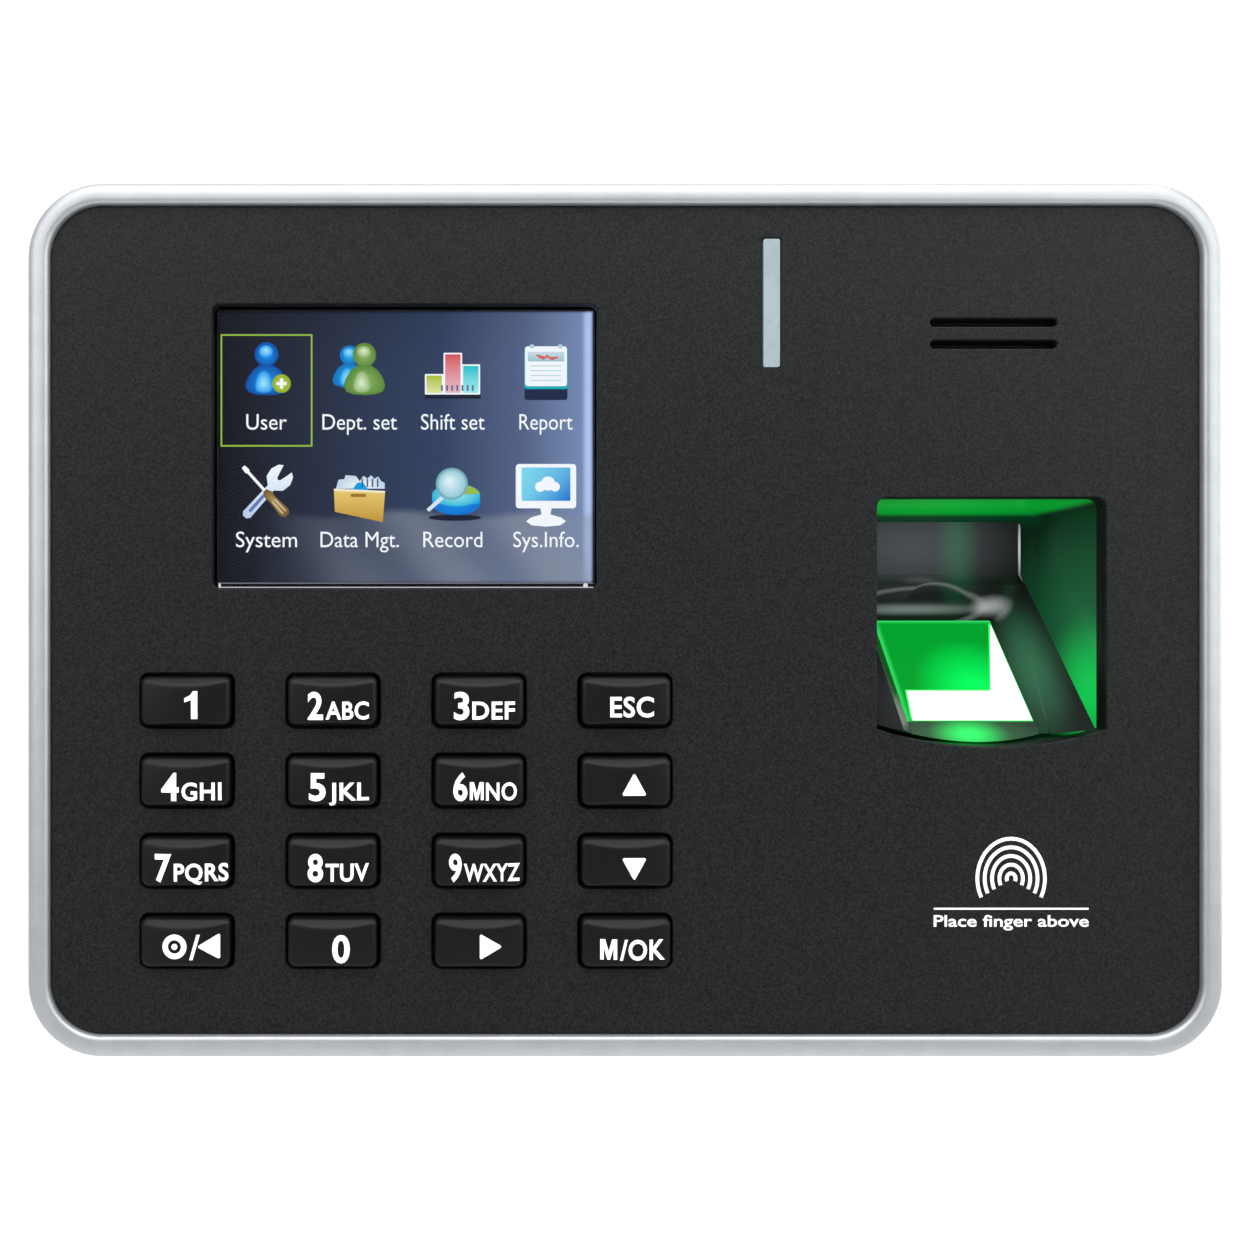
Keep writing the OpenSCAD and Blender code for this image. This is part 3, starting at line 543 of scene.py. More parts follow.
def set_finishes(terminal):
    """Every finish by name."""
    silver, panel = tuple(terminal.housing.silver), tuple(terminal.housing.panel_colour)
    steel = (0.40, 0.41, 0.42)
    black = (0.018, 0.018, 0.019)
    glow = tuple(terminal.sensor.glow)
    return {
        "panel": finish("panel_charcoal", tuple(1.8 * c for c in panel), tuple(0.2 * c for c in panel),
                        (0.45, 0.65), 4800, 3300, 0.6, Specular_IOR_Level=0.17),
        "cover": finish("cover_black", black, None, (0.5, 0.7), 1800, 30, 0.6),
        "silver": finish("satin_silver", silver, tuple(0.93 * c for c in silver), (0.36, 0.5), 5200, 300, 0.18,
                         Metallic=0.65),
        "steel": finish("zinc_steel", steel, None, (0.25, 0.4), 900, 50, 0.1, Metallic=1.0),
        "tin": finish("tinned_steel", (0.72, 0.72, 0.72), None, (0.2, 0.35), 900, 50, 0.1, Metallic=1.0),
        "cell": finish("cell_steel", (0.8, 0.8, 0.8), None, (0.08, 0.15), 400, 30, 0.02, Metallic=1.0),
        "label": finish("label_paper", (0.48, 0.48, 0.47), None, (0.35, 0.45), 900, 60, 0.05),
        "foam": finish("black_foam", (0.015, 0.015, 0.015), None, (0.85, 0.95), 1600, 60, 0.8),
        "film": finish("amber_film", (0.55, 0.25, 0.04), None, (0.2, 0.3), 300, 40, 0.02),
        "flat_cable": finish("flat_cable", (0.75, 0.75, 0.73), None, (0.4, 0.5), 700, 40, 0.1),
        "board": finish("board_green", (0.01, 0.12, 0.04), (0.008, 0.08, 0.03), (0.2, 0.35), 700, 90, 0.05),
        "gold": finish("gold_pads", (0.8, 0.55, 0.2), None, (0.2, 0.3), 900, 60, 0.05, Metallic=1.0),
        "rubber": finish("mat_rubber", (0.05, 0.05, 0.05), None, (0.6, 0.75), 1500, 60, 0.3),
        "keys": finish("key_rubber", tuple(terminal.keypad.key_colour), None, (0.30, 0.42), 3000, 80, 0.15,
                       Specular_IOR_Level=0.17),
        # The white print also glows a little: painted light that brightens the legends and the mark under any lamp
        "legend": finish("white_print_painted_glow", (0.86, 0.86, 0.86), None, (0.45, 0.55), 1800, 60, 0.0,
                         Emission_Color=(1, 1, 1, 1), Emission_Strength=0.30),
        # The guide and the well glow only by the painted light and highlights that the sensor step adds to them
        "guide": finish("guide_satin", (0.012, 0.016, 0.014), None, (0.35, 0.5), 3000, 60, 0.15,
                        Specular_IOR_Level=0.16, Emission_Strength=1.0),
        "well": finish("well_gloss", (0.006, 0.02, 0.01), None, (0.3, 0.4), 1400, 60, 0.05,
                       Specular_IOR_Level=0.2, Emission_Strength=1.0),
        "lens": finish("lens_barrel", (0.012, 0.012, 0.012), None, (0.3, 0.4), 900, 60, 0.05),
        "led": finish("green_lamp", glow, None, (0.2, 0.3), 900, 60, 0.0, Emission_Color=(*glow, 1),
                      Emission_Strength=2.0),
        "bar": finish("milky_light", (0.265, 0.33, 0.345), (0.235, 0.29, 0.30), (0.3, 0.4), 900, 160, 0.03,
                      Emission_Color=(0.8, 0.95, 1.0, 1), Emission_Strength=0.03),
        "paper": finish("coated_paper", (0.02, 0.02, 0.02), None, (0.6, 0.8), 1500, 60, 0.5),
        "wire": finish("red_wire", (0.45, 0.02, 0.02), None, (0.35, 0.45), 900, 60, 0.05),
        "chip": finish("chip_black", black, None, (0.5, 0.6), 2500, 60, 0.3),
        "ivory": finish("ivory_nylon", (0.70, 0.64, 0.50), None, (0.4, 0.5), 900, 60, 0.1),
        "nylon": finish("white_nylon", (0.8, 0.8, 0.8), None, (0.35, 0.45), 900, 60, 0.05),
        "reset": finish("reset_red", (0.35, 0.02, 0.02), None, (0.35, 0.45), 900, 60, 0.05),
        "glass": finish("clear_window", (0.95, 0.97, 1.0), (0.93, 0.95, 0.98), (0.015, 0.025), 300, 30, 0.0,
                        Transmission_Weight=1.0, IOR=1.2),
        # The prism's green glow is painted light, standing in for the sensor lamps' light inside the glass
        "prism": finish("green_glass_painted_glow", (0.1, 0.9, 0.2), None, (0.03, 0.05), 300, 30, 0.0,
                        Transmission_Weight=0.7, Emission_Color=(*glow, 1), Emission_Strength=0.6),
    }


# ---------- housing ----------

def well_outline(settings, prism, top):
    """The opening over the sensor: square above, with a curved lower edge."""
    half, r, tall = settings.well_width / 2, 1.5 * MM, 38.15 * MM
    centre = top - tall + settings.well_arc
    side_y = centre - math.sqrt(settings.well_arc ** 2 - half ** 2)
    reach = math.degrees(math.asin(half / settings.well_arc))
    lower = [(prism.x + x, y) for x, y in arc(0, centre, settings.well_arc, 270 - reach, 270 + reach, 24)]
    upper = arc(prism.x + half - r, top - r, r, 0, 90, 8) + arc(prism.x - half + r, top - r, r, 90, 180, 8)
    return lower[:-1] + [(prism.x + half, side_y)] + upper


def panel_outlines(terminal):
    """The outline of the panel and all its openings, seen from the front."""
    housing, keypad = terminal.housing, terminal.keypad
    bezel, window, prism = Box("bezel_frame"), Box("display_window"), Box("sensor_prism")
    light, speaker, well = Box("status_light_guide"), Box("speaker_frame"), Box("sensor_well")
    inset = housing.frame_width + housing.panel_gap
    lines = [rounded(bezel.x, bezel.y, bezel.width - 2 * inset, bezel.height - 2 * inset,
                     housing.frame_corner - inset, 16)]
    lines.append(rounded(window.x, window.y, window.width - 3.3 * MM, window.height - 3.3 * MM, 1.2 * MM))
    grow = 2 * (keypad.gap - keypad.flange)
    for name in KEYS:
        key = Box(name)
        lines.append(rounded(key.x, key.y, key.width + grow, key.height + grow, 1.3 * MM))
    lines.append(well_outline(housing, prism, well.top - 1.4 * MM))
    lines.append(rounded(light.x, light.y, light.width - 1.7 * MM, light.height - 1.2 * MM, 0.4 * MM, 4))
    for side in (-0.5, 0.5):
        lines.append(rounded(speaker.x, speaker.y + side * housing.slot_pitch, housing.slot_width,
                             housing.slot_height, housing.slot_height * 0.49, 6))
    return lines


def front_shell(terminal):
    """The panel's finished face, with its posts and skirt cut from the panel's own mesh below it."""
    housing = terminal.housing
    front = Box("front_panel").front
    cut = front - housing.skin
    mesh = plate("front_shell", panel_outlines(terminal), cut, front, housing.edge)
    work = cad_work("front_panel")
    everything = work.verts[:] + work.edges[:] + work.faces[:]
    halves = bmesh.ops.bisect_plane(work, geom=everything, plane_co=(0, -cut, 0), plane_no=(0, -1, 0),
                                    clear_outer=True, dist=1e-8)
    rim = [e for e in halves["geom_cut"] if isinstance(e, bmesh.types.BMEdge)]
    bmesh.ops.triangle_fill(work, edges=rim, use_beauty=True, normal=(0, -1, 0))
    lower = bpy.data.meshes.new("front_shell_back")
    work.to_mesh(lower)
    work.free()
    clean(lower)
    whole = joined("front_shell", [mesh, lower])
    rest_normals(whole)
    return whole


def joined(name, meshes):
    """One mesh from several."""
    work = bmesh.new()
    for mesh in meshes:
        work.from_mesh(mesh)
        bpy.data.meshes.remove(mesh)
    out = bpy.data.meshes.new(name)
    work.to_mesh(out)
    work.free()
    return out


def swept_frame(terminal):
    """The silver frame: one section carried round the outline, falling outwards from its crest."""
    housing, bezel, panel = terminal.housing, Box("bezel_frame"), Box("front_panel")
    wide, crest, back = housing.frame_width, bezel.front, bezel.back
    inner, deep, turn = 0.75 * MM, housing.frame_fall, 0.68
    lift, tuck, edge, steps = 0.15 * MM, 2 * MM, 0.25 * MM, 24
    section = [(0.0, back + edge), (0.0, crest - deep - tuck)]
    for i in range(steps + 1):
        a = math.radians(90 * i / steps)
        section.append((-(wide - inner) * (1 - math.cos(a) ** turn), crest - deep + deep * math.sin(a) ** turn))
    for i in range(1, 7):
        a = math.radians(15 * i)
        section.append((-wide + inner * (1 - math.sin(a)),
                        panel.front + lift + (crest - panel.front - lift) * math.cos(a)))
    section += [(-wide, panel.front - 1.8 * MM), (-tuck, panel.front - 1.9 * MM), (-tuck, back), (-edge, back)]
    verts, faces = [], []
    r = housing.frame_corner
    spots = []
    for sx, sy, start in ((1, 1, 0), (-1, 1, 90), (-1, -1, 180), (1, -1, 270)):
        cx = bezel.x + sx * (bezel.width / 2 - r)
        cy = bezel.y + sy * (bezel.height / 2 - r)
        for i in range(steps + 1):
            a = math.radians(start + 90 * i / steps)
            spots.append((cx, cy, math.cos(a), math.sin(a)))
    for cx, cy, nx, ny in spots:
        for inset, z in section:
            reach = r + inset
            verts.append((cx + nx * reach, cy + ny * reach, z))
    n, m = len(spots), len(section)
    for i in range(n):
        for k in range(m):
            a, b = i * m + k, (i + 1) % n * m + k
            c, d = (i + 1) % n * m + (k + 1) % m, i * m + (k + 1) % m
            faces.append((a, b, c, d))
    mesh = mesh_of("silver_frame", stand(verts), faces)
    clean(mesh, 30)
    return mesh


class BuildStep:
    """What the operators that build pieces share."""

    def execute(self, context):
        terminal = context.scene.terminal
        self.build(terminal, set_finishes(terminal))
        return {"FINISHED"}


class TERMINAL_OT_housing(BuildStep, bpy.types.Operator):
    """Build the front shell and the silver frame and give the housing its finishes"""

    bl_idname = "terminal.housing"
    bl_label = "Housing"

    def build(self, terminal, looks):
        piece("front_shell", front_shell(terminal), looks["panel"], replaces=["front_panel"])
        piece("silver_frame", swept_frame(terminal), looks["silver"],
              replaces=["bezel_frame"])
        dress(looks, {"cover": "rear_cover", "steel": "wall_plate plate_lock_screw housing_screws board_screws",
                      "label": "rating_label"})


# ---------- keypad ----------

def soft_min(a, b, k):
    """The lower of two heights, with the crease rounded over k."""
    h = max(k - abs(a - b), 0.0) / k
    return min(a, b) - h * h * k * 0.25


class KeyShape:
    """The top of one key, from its CAD box."""

    def __init__(self, name, terminal):
        keypad = terminal.keypad
        box = Box(name)
        self.x, self.y = box.x, box.y
        self.w, self.h = box.width - 2 * keypad.flange, box.height - 2 * keypad.flange
        self.base = Box("front_panel").front
        self.peak = self.base + keypad.rise + keypad.crown
        self.crown = keypad.crown
        self.low = box.back

    def height(self, x, y):
        """Height of the top at a place measured from the key's middle."""
        dome, crease = 0.12 * MM, 0.3 * MM
        z = self.peak - self.crown * (2 * x / self.w) ** 2 - dome * (2 * y / self.h) ** 2
        for side, slope, inset in ((1, 43, 1.45 * MM), (-1, 58, 0.6 * MM)):
            z = soft_min(z, self.peak - math.tan(math.radians(slope)) * (side * y - (self.h / 2 - inset)), crease)
        return z

    def outline(self):
        return rounded(0, 0, self.w, self.h, 0.9 * MM, 10, 1.3 * MM)

    def mesh(self, name):
        """Rings from the middle outwards, over the rounded edge and down into the panel."""
        line = dense(self.outline(), 0.28 * MM)
        n = len(line)
        verts, faces = [], []
        steps = [0.12, 0.25, 0.38, 0.5, 0.6, 0.68, 0.75, 0.81, 0.86, 0.9, 0.935, 0.96, 0.98, 0.993, 1.0]
        edge_drop, edge_share = 0.32 * MM, 0.09
        verts.append((0, 0, self.height(0, 0)))
        for t in steps:
            for x, y in line:
                px, py = x * t, y * t
                drop = edge_drop * max(0.0, 1 - (1 - t) / edge_share) ** 2.2
                verts.append((px, py, self.height(px, py) - drop))
        for z in (self.base, self.base - 1.2 * MM, self.low):
            verts += [(x, y, z) for x, y in line]
        rings = len(steps) + 3
        for i in range(n):
            faces.append((0, 1 + i, 1 + (i + 1) % n))
        for k in range(rings - 1):
            for i in range(n):
                a, b = 1 + k * n + i, 1 + k * n + (i + 1) % n
                faces.append((a, a + n, b + n, b))
        faces.append(tuple(1 + (rings - 1) * n + i for i in range(n - 1, -1, -1)))
        mesh = mesh_of(name, stand([(x + self.x, y + self.y, z) for x, y, z in verts]), faces)
        clean(mesh, 50)
        return mesh


def dense(line, step):
    """A closed outline with no stretch longer than step."""
    out = []
    for (x0, y0), (x1, y1) in zip(line, line[1:] + line[:1]):
        far = math.hypot(x1 - x0, y1 - y0)
        if far < 1e-9:
            continue
        count = max(1, math.ceil(far / step))
        out += [(x0 + (x1 - x0) * i / count, y0 + (y1 - y0) * i / count) for i in range(count)]
    return out


def sign_mesh(outlines):
    """A flat sign from outlines, the first the outer one, at z = 0."""
    return evaluated_mesh(placed("sign", flat_curve("sign", outlines, FOIL / 2)))


def triangle(cx, cy, size, turn):
    """A triangle with rounded corners that points the way it is turned, 0 being up."""
    line = []
    for k in range(3):
        a = 90 + 120 * k
        x, y = size * 0.52 * math.cos(math.radians(a)), size * 0.52 * math.sin(math.radians(a))
        line += arc(x, y, size * 0.06, a - 60, a + 60, 4)
    c, s = math.cos(math.radians(turn)), math.sin(math.radians(turn))
    return [(cx + c * x - s * y, cy + s * x + c * y) for x, y in line]


def shifted(mesh, x, y):
    mesh.transform(Matrix.Translation((x, y, 0)))
    return mesh


# A bold M, one unit high
LETTER_M = [(0, 0), (0.2, 0), (0.2, 0.62), (0.4, 0), (0.56, 0), (0.76, 0.62), (0.76, 0), (0.96, 0), (0.96, 1),
            (0.68, 1), (0.48, 0.4), (0.28, 1), (0, 1)]
LETTER_M_STEP = 1.12
FIGURE_1 = [(0.95, 0), (1.85, 0), (1.85, 4.2), (1.2, 4.2), (0.85, 3.6), (0.0, 3.15), (0.0, 2.5), (0.95, 2.85)]


def legend_parts(kind, letters, keypad):
    """The signs of one key about its legend's middle, with the baseline at y = 0."""
    middle = keypad.digit * 0.55
    if kind in ("up", "down", "right"):
        turn = {"up": 0, "down": 180, "right": -90}[kind]
        drop = {"up": -0.5 * MM, "down": 0.0, "right": 0.0}[kind]
        return [sign_mesh([triangle(0, middle + drop, 3.6 * MM, turn)])]
    if kind == "power":
        r = 1.85 * MM
        ring = [ellipse(-2.6 * MM, middle, r), ellipse(-2.6 * MM, middle, r * 0.55)[::-1]]
        dot = [ellipse(-2.6 * MM, middle, r * 0.25, steps=16)]
        stroke = [(-0.35 * MM, 0.3 * MM), (0.15 * MM, 0.3 * MM), (1.25 * MM, 4.1 * MM), (0.75 * MM, 4.1 * MM)]
        return [sign_mesh(ring), sign_mesh(dot), sign_mesh([stroke]),
                sign_mesh([triangle(3.1 * MM, middle, 3.6 * MM, 90)])]
    if kind == "1":
        return [sign_mesh([scaled(FIGURE_1)])]
    parts, x = [], 0.0
    if kind:
        parts.append(text_mesh(kind, keypad.digit, bold=0.026, narrow=0.98))
        x = extent(parts[0])[1] + 0.45 * MM
    if letters:
        tall, rise = (keypad.letter, 0) if kind else (keypad.letter * 1.14, 0.35 * MM)
        if letters[0] == "M":
            parts.append(shifted(sign_mesh([scaled(LETTER_M, tall)]), x, rise))
            x += LETTER_M_STEP * tall
            letters = letters[1:]
        parts.append(shifted(text_mesh(letters, tall, bold=0.022, spacing=1.06), x, rise))
    x = max(extent(m)[1] for m in parts)
    return [shifted(m, -x / 2, 0) for m in parts]


def legend_mesh(name, key, keypad):
    """A key's printing, laid on its curved top."""
    kind, letters, wide, shift = KEYS[name]
    mesh = joined(name + "_legend", legend_parts(kind, letters, keypad))
    left, right, _, _ = extent(mesh)
    mesh.transform(Matrix.Diagonal((wide * MM / (right - left), 1, 1, 1))
                   @ Matrix.Translation((-(left + right) / 2, 0, 0)))
    sliced(mesh, 0.7 * MM, 0.3 * MM)
    for v in mesh.vertices:
        x, y = v.co.x + shift * MM, v.co.y + keypad.baseline
        z = key.height(x, y) + 0.03 * MM + v.co.z
        v.co = stand([(x + key.x, y + key.y, z)])[0]
    clean(mesh, 20)
    return mesh


class TERMINAL_OT_keypad(BuildStep, bpy.types.Operator):
    """Build the sixteen keys with their white legends"""

    bl_idname = "terminal.keypad"
    bl_label = "Keypad"

    def build(self, terminal, looks):
        for name in KEYS:
            key = KeyShape(name, terminal)
            cap = key.mesh(name + "_cap")
            piece(name + "_cap", cap, looks["keys"], body=name, replaces=[name])
            piece(name + "_legend", legend_mesh(name, key, terminal.keypad), looks["legend"], body=name)
        dress(looks, {"rubber": "keypad_mat", "board": "keypad_board", "gold": "keypad_contacts",
                      "flat_cable": "keypad_ribbon"})


# ---------- display ----------

def mixed(a, b, t):
    t = min(max(t, 0.0), 1.0)
    return tuple(p + (q - p) * t for p, q in zip(a, b))


def ramp(low, high, y0, y1):
    """A colour that changes with height, from low at y0 to high at y1."""
    return lambda x, y: mixed(low, high, (y - y0) / (y1 - y0))


def moved(line, dx, dy, turn=0.0):
    c, s = math.cos(math.radians(turn)), math.sin(math.radians(turn))
    return [(dx + c * x - s * y, dy + s * x + c * y) for x, y in line]


def scaled(line, k=MM):
    return [(x * k, y * k) for x, y in line]


def at(x, y, line):
    """An outline given in millimetres, moved to a place."""
    return moved(scaled(line), x, y)


def block(picture, x, y, size, tint, layer):
    """A rounded block of a picture: offset, width, height, corner in millimetres, and the corner's steps."""
    dx, dy, w, h, r, steps = size
    picture.plate(rounded(x + dx * MM, y + dy * MM, w * MM, h * MM, r * MM, steps), tint, layer)


def disc(picture, x, y, size, tint, layer, **more):
    """A round or oval plate of a picture: offset, radius across and, if it isn't the same, upright, in mm."""
    dx, dy, *radii = size
    picture.plate(ellipse(x + dx * MM, y + dy * MM, *(r * MM for r in radii)), tint, layer, **more)


WHITE = (0.95, 0.97, 1.0)


def person(picture, cx, cy, size, deep, clear, pale, layer):
    """A round head over sloping shoulders."""
    body = [(-2.9, -3.5), (-3.3, -2.6), (-3.0, -1.5), (-2.2, -0.2), (-1.2, 0.55), (0, 0.75), (1.2, 0.55),
            (2.2, -0.2), (3.0, -1.5), (3.3, -2.6), (2.9, -3.5), (1.6, -3.95), (0, -4.05), (-1.6, -3.95)]
    k = size * MM

    def sized(line):
        return moved(scaled(line, k), cx, cy)

    picture.plate(sized(body), deep, layer, (cx, cy - 2.0 * k), clear)
    picture.plate(sized([(x * 0.42 - 0.4, y * 0.72 - 0.8) for x, y in body]), clear, layer + 1,
                  (cx - 0.5 * k, cy - 2.2 * k), pale)
    picture.plate(sized(ellipse(0, 2.3, 1.85, 1.9)), deep, layer + 2, (cx, cy + 2.1 * k), clear)
    picture.plate(sized(ellipse(-0.1, 2.75, 1.1, 0.95)), clear, layer + 3, (cx - 0.1 * k, cy + 3.0 * k), pale)


def icon_user(picture, x, y):
    person(picture, x, y, 1.0, (0.0, 0.07, 0.38), (0.0, 0.30, 0.82), (0.35, 0.85, 1.0), 3)
    disc(picture, x, y, (2.35, -2.25, 1.45), (0.28, 0.42, 0.01), 8, middle=(0.55, 0.68, 0.06))
    for w, h in ((1.6, 0.5), (0.5, 1.6)):
        block(picture, x, y, (2.35, -2.25, w, h, 0.08, 2), WHITE, 10)


def icon_group(picture, x, y):
    person(picture, x - 1.6 * MM, y + 0.35 * MM, 0.8, (0.0, 0.16, 0.5), (0.02, 0.42, 0.9), (0.3, 0.8, 1.0), 3)
    person(picture, x + 0.75 * MM, y - 0.05 * MM, 0.98, (0.10, 0.26, 0.03), (0.28, 0.45, 0.14), (0.75, 0.9, 0.6), 8)


def icon_bars(picture, x, y):
    bars = ((-2.9, 2.7, (0.75, 0.8, 0.35), (0.42, 0.55, 0.02)), (0.0, 6.0, (0.85, 0.50, 0.55), (0.72, 0.08, 0.09)),
            (2.8, 4.2, (0.35, 0.85, 0.85), (0.0, 0.55, 0.62)))
    floor = y - 3.7 * MM
    block(picture, x, floor, (0, -0.45, 8.7, 0.9, 0.1, 2), (0.008, 0.012, 0.03), 3)
    for dx, tall, low, high in bars:
        shade = ramp(low, high, floor, floor + tall * MM)
        block(picture, x, floor, (dx, tall / 2, 2.9, tall + 0.5, 0.1, 2), WHITE, 4)
        block(picture, x, floor, (dx, tall / 2, 2.4, tall, 0.05, 2), shade, 6)
    for i in range(7):
        block(picture, x, floor, (0.8 * i - 1.7, 0.75, 0.3, 0.9, 0.05, 2), (0.12, 0.16, 0.25), 8)


def icon_notes(picture, x, y):
    block(picture, x, y, (0, -0.9, 6.7, 7.8, 0.4, 3), (0.01, 0.02, 0.06), 3)
    block(picture, x, y, (0, 0.2, 6.8, 6.6, 0.4, 3), (0.0, 0.42, 0.48), 4)
    block(picture, x, y, (0, 0.45, 6.5, 6.2, 0.4, 3), WHITE, 5)
    shade = ramp((0.35, 0.55, 0.62), (0.62, 0.75, 0.8), y + 1.2 * MM, y + 2.7 * MM)
    block(picture, x, y, (0, 1.95, 5.7, 1.5, 0.1, 2), shade, 6)
    zigzag = [(-1.5, 2.3), (-0.4, 1.7), (0.2, 2.3), (0.9, 1.6), (1.9, 1.95), (1.9, 1.75), (0.9, 1.35), (0.2, 2.0),
              (-0.4, 1.4), (-1.5, 2.05)]
    picture.plate(at(x, y, zigzag), (0.7, 0.12, 0.1), 8)
    for i in range(4):
        block(picture, x, y, (0, 0.5 - 0.75 * i, 4.8, 0.16, 0.05, 2), (0.5, 0.72, 0.7), 7)
    for side in (-2.2, 2.2):
        picture.plate(ellipse(x + side * MM, y + 3.55 * MM, 0.35 * MM, steps=14), (0.45, 0.65, 0.72), 7)


def icon_tools(picture, x, y):
    def turned(line, angle):
        return moved(scaled(line), x, y, angle)

    spanner = [(-0.75, -4.6), (-0.35, -5.1), (0.35, -5.1), (0.75, -4.6), (0.62, 1.0), (1.7, 1.9), (1.95, 3.3),
               (1.5, 4.5), (0.85, 4.95), (0.75, 3.1), (0.0, 2.65), (-0.75, 3.1), (-0.85, 4.95), (-1.5, 4.5),
               (-1.95, 3.3), (-1.7, 1.9), (-0.62, 1.0)]
    picture.plate(turned(spanner, -42), ramp((0.50, 0.62, 0.85), (0.9, 0.95, 1.0), y - 3 * MM, y + 3 * MM), 3,
                  turned([(0, 1.6)], -42)[0])
    picture.plate(turned(rounded(0, -2.2, 0.5, 3.6, 0.2, 3), -42), (0.12, 0.2, 0.42), 5)
    shaft = [(-0.22, 0.4), (0.22, 0.4), (0.22, 4.2), (0.42, 4.5), (0.3, 5.4), (-0.3, 5.4), (-0.42, 4.5),
             (-0.22, 4.2)]
    picture.plate(turned(shaft, 42), WHITE, 7)
    handle = [(-0.35, 0.4), (-0.75, -0.5), (-0.62, -1.3), (-0.85, -4.2), (-0.45, -4.8), (0.45, -4.8), (0.85, -4.2),
              (0.62, -1.3), (0.75, -0.5), (0.35, 0.4)]
    picture.plate(turned(handle, 42), (0.16, 0.09, 0.02), 7, middle=(0.5, 0.33, 0.12))
    for side in (-0.3, 0.3):
        picture.plate(turned(rounded(side, -2.9, 0.18, 2.6, 0.08, 2), 42), (0.75, 0.6, 0.35), 9)


def icon_folder(picture, x, y):
    papers = [(-3.7, 0.6), (-3.3, 2.0), (-2.4, 2.1), (-2.2, 2.7), (-0.6, 2.6), (0.0, 1.8), (0.6, 2.6), (1.2, 2.2),
              (1.8, 2.7), (2.3, 2.1), (2.9, 2.5), (3.3, 1.8), (3.9, 1.5), (3.9, 0.6)]
    picture.plate(at(x, y, papers), (0.55, 0.68, 0.8), 3, (x, y + 0.9 * MM), WHITE)
    picture.plate(at(x, y, [(-1.2, 0.4), (-0.4, 1.5), (0.5, 1.6), (1.4, 0.4)]), (0.0, 0.35, 0.75), 5)
    for i in range(4):
        block(picture, x, y, (0.4 + 0.8 * i, 1.5, 0.22, 1.3, 0.05, 2), (0.03, 0.05, 0.12), 5)
    front = [(-4.0, 0.45), (-3.85, -3.0), (3.6, -4.6), (3.95, 0.1)]
    shade = ramp((0.55, 0.30, 0.03), (0.85, 0.60, 0.16), y - 4.4 * MM, y + 0.4 * MM)
    picture.plate(at(x, y, front), shade, 7)
    lip = [(-4.0, 0.6), (-4.0, 0.25), (3.95, -0.1), (3.95, 0.25)]
    picture.plate(at(x, y, lip), (0.95, 0.85, 0.6), 8)
    block(picture, x, y, (-0.2, -0.45, 2.4, 0.5, 0.2, 3), (0.35, 0.18, 0.02), 9)


def icon_record(picture, x, y):
    disc(picture, x, y, (0.3, -3.9, 4.1, 0.5), (0.008, 0.012, 0.03), 2)
    disc(picture, x, y, (0.5, -1.75, 3.75, 1.75), (0.0, 0.16, 0.62), 3, middle=(0.0, 0.30, 0.85))
    block(picture, x, y, (0.5, -1.1, 7.5, 1.4, 0.5, 4), (0.01, 0.38, 0.78), 4)
    disc(picture, x, y, (0.5, -0.4, 3.75, 1.75), (0.03, 0.48, 0.68), 5, middle=(0.28, 0.86, 0.88))
    wedge = [(0.5, -0.4)] + arc(0.5, -0.4, 3.7, 8, 88, 12, 1.7)
    picture.plate(at(x, y, wedge), (0.32, 0.52, 0.06), 7)
    handle = [(-1.9, -0.6), (-1.4, -1.0), (-3.7, -3.0), (-4.1, -2.6)]
    picture.plate(at(x, y, handle), (0.72, 0.78, 0.88), 9)
    disc(picture, x, y, (-0.15, 1.35, 2.5), (0.20, 0.42, 0.48), 9)
    disc(picture, x, y, (-0.15, 1.35, 2.15), (0.30, 0.60, 0.68), 10, centre=(x - 0.7 * MM, y + 1.9 * MM),
         middle=(0.82, 0.95, 0.97))


def icon_monitor(picture, x, y):
    foot = [(-0.9, -2.9), (0.9, -2.9), (0.7, -4.1), (2.4, -4.6), (3.1, -5.2), (2.2, -5.8), (0, -6.0),
            (-2.2, -5.8), (-3.1, -5.2), (-2.4, -4.6), (-0.7, -4.1)]
    picture.plate(at(x, y + 0.7 * MM, foot), WHITE, 3, (x, y - 4.2 * MM))
    block(picture, x, y, (0, 1.0, 9.4, 6.9, 0.5, 4), WHITE, 4)

    def slanted(px, py):
        return mixed((0.22, 0.72, 0.86), (0.0, 0.16, 0.66), (px - x - py + y) / (7 * MM) + 0.5)

    block(picture, x, y, (0, 1.3, 7.6, 5.2, 0.15, 3), slanted, 6)
    for dx, dy, r in ((-0.9, 0.9, 0.8), (0.3, 1.4, 1.1), (1.4, 0.9, 0.75)):
        picture.plate(ellipse(x + dx * MM, y + dy * MM, r * MM, steps=20), WHITE, 8)


# Each icon, its word, and the word's width in millimetres
ICONS = (
    (icon_user, "User", 6.3), (icon_group, "Dept. set", 11.6), (icon_bars, "Shift set", 9.9),
    (icon_notes, "Report", 8.3), (icon_tools, "System", 9.5), (icon_folder, "Data Mgt.", 12.2),
    (icon_record, "Record", 9.2), (icon_monitor, "Sys.Info.", 10.2),
)


def along(stops, t):
    """A colour between stops of (place, colour)."""
    for (a, low), (b, high) in zip(stops, stops[1:]):
        if t <= b:
            return mixed(low, high, (t - a) / (b - a))
    return stops[-1][1]


BACKDROP = ((0.0, (0.004, 0.004, 0.007)), (0.1, (0.008, 0.009, 0.018)), (0.35, (0.020, 0.030, 0.066)),
            (0.6, (0.029, 0.052, 0.117)), (0.82, (0.090, 0.125, 0.240)), (0.97, (0.18, 0.26, 0.44)),
            (0.982, (0.46, 0.58, 0.88)), (1.0, (0.40, 0.52, 0.82)))


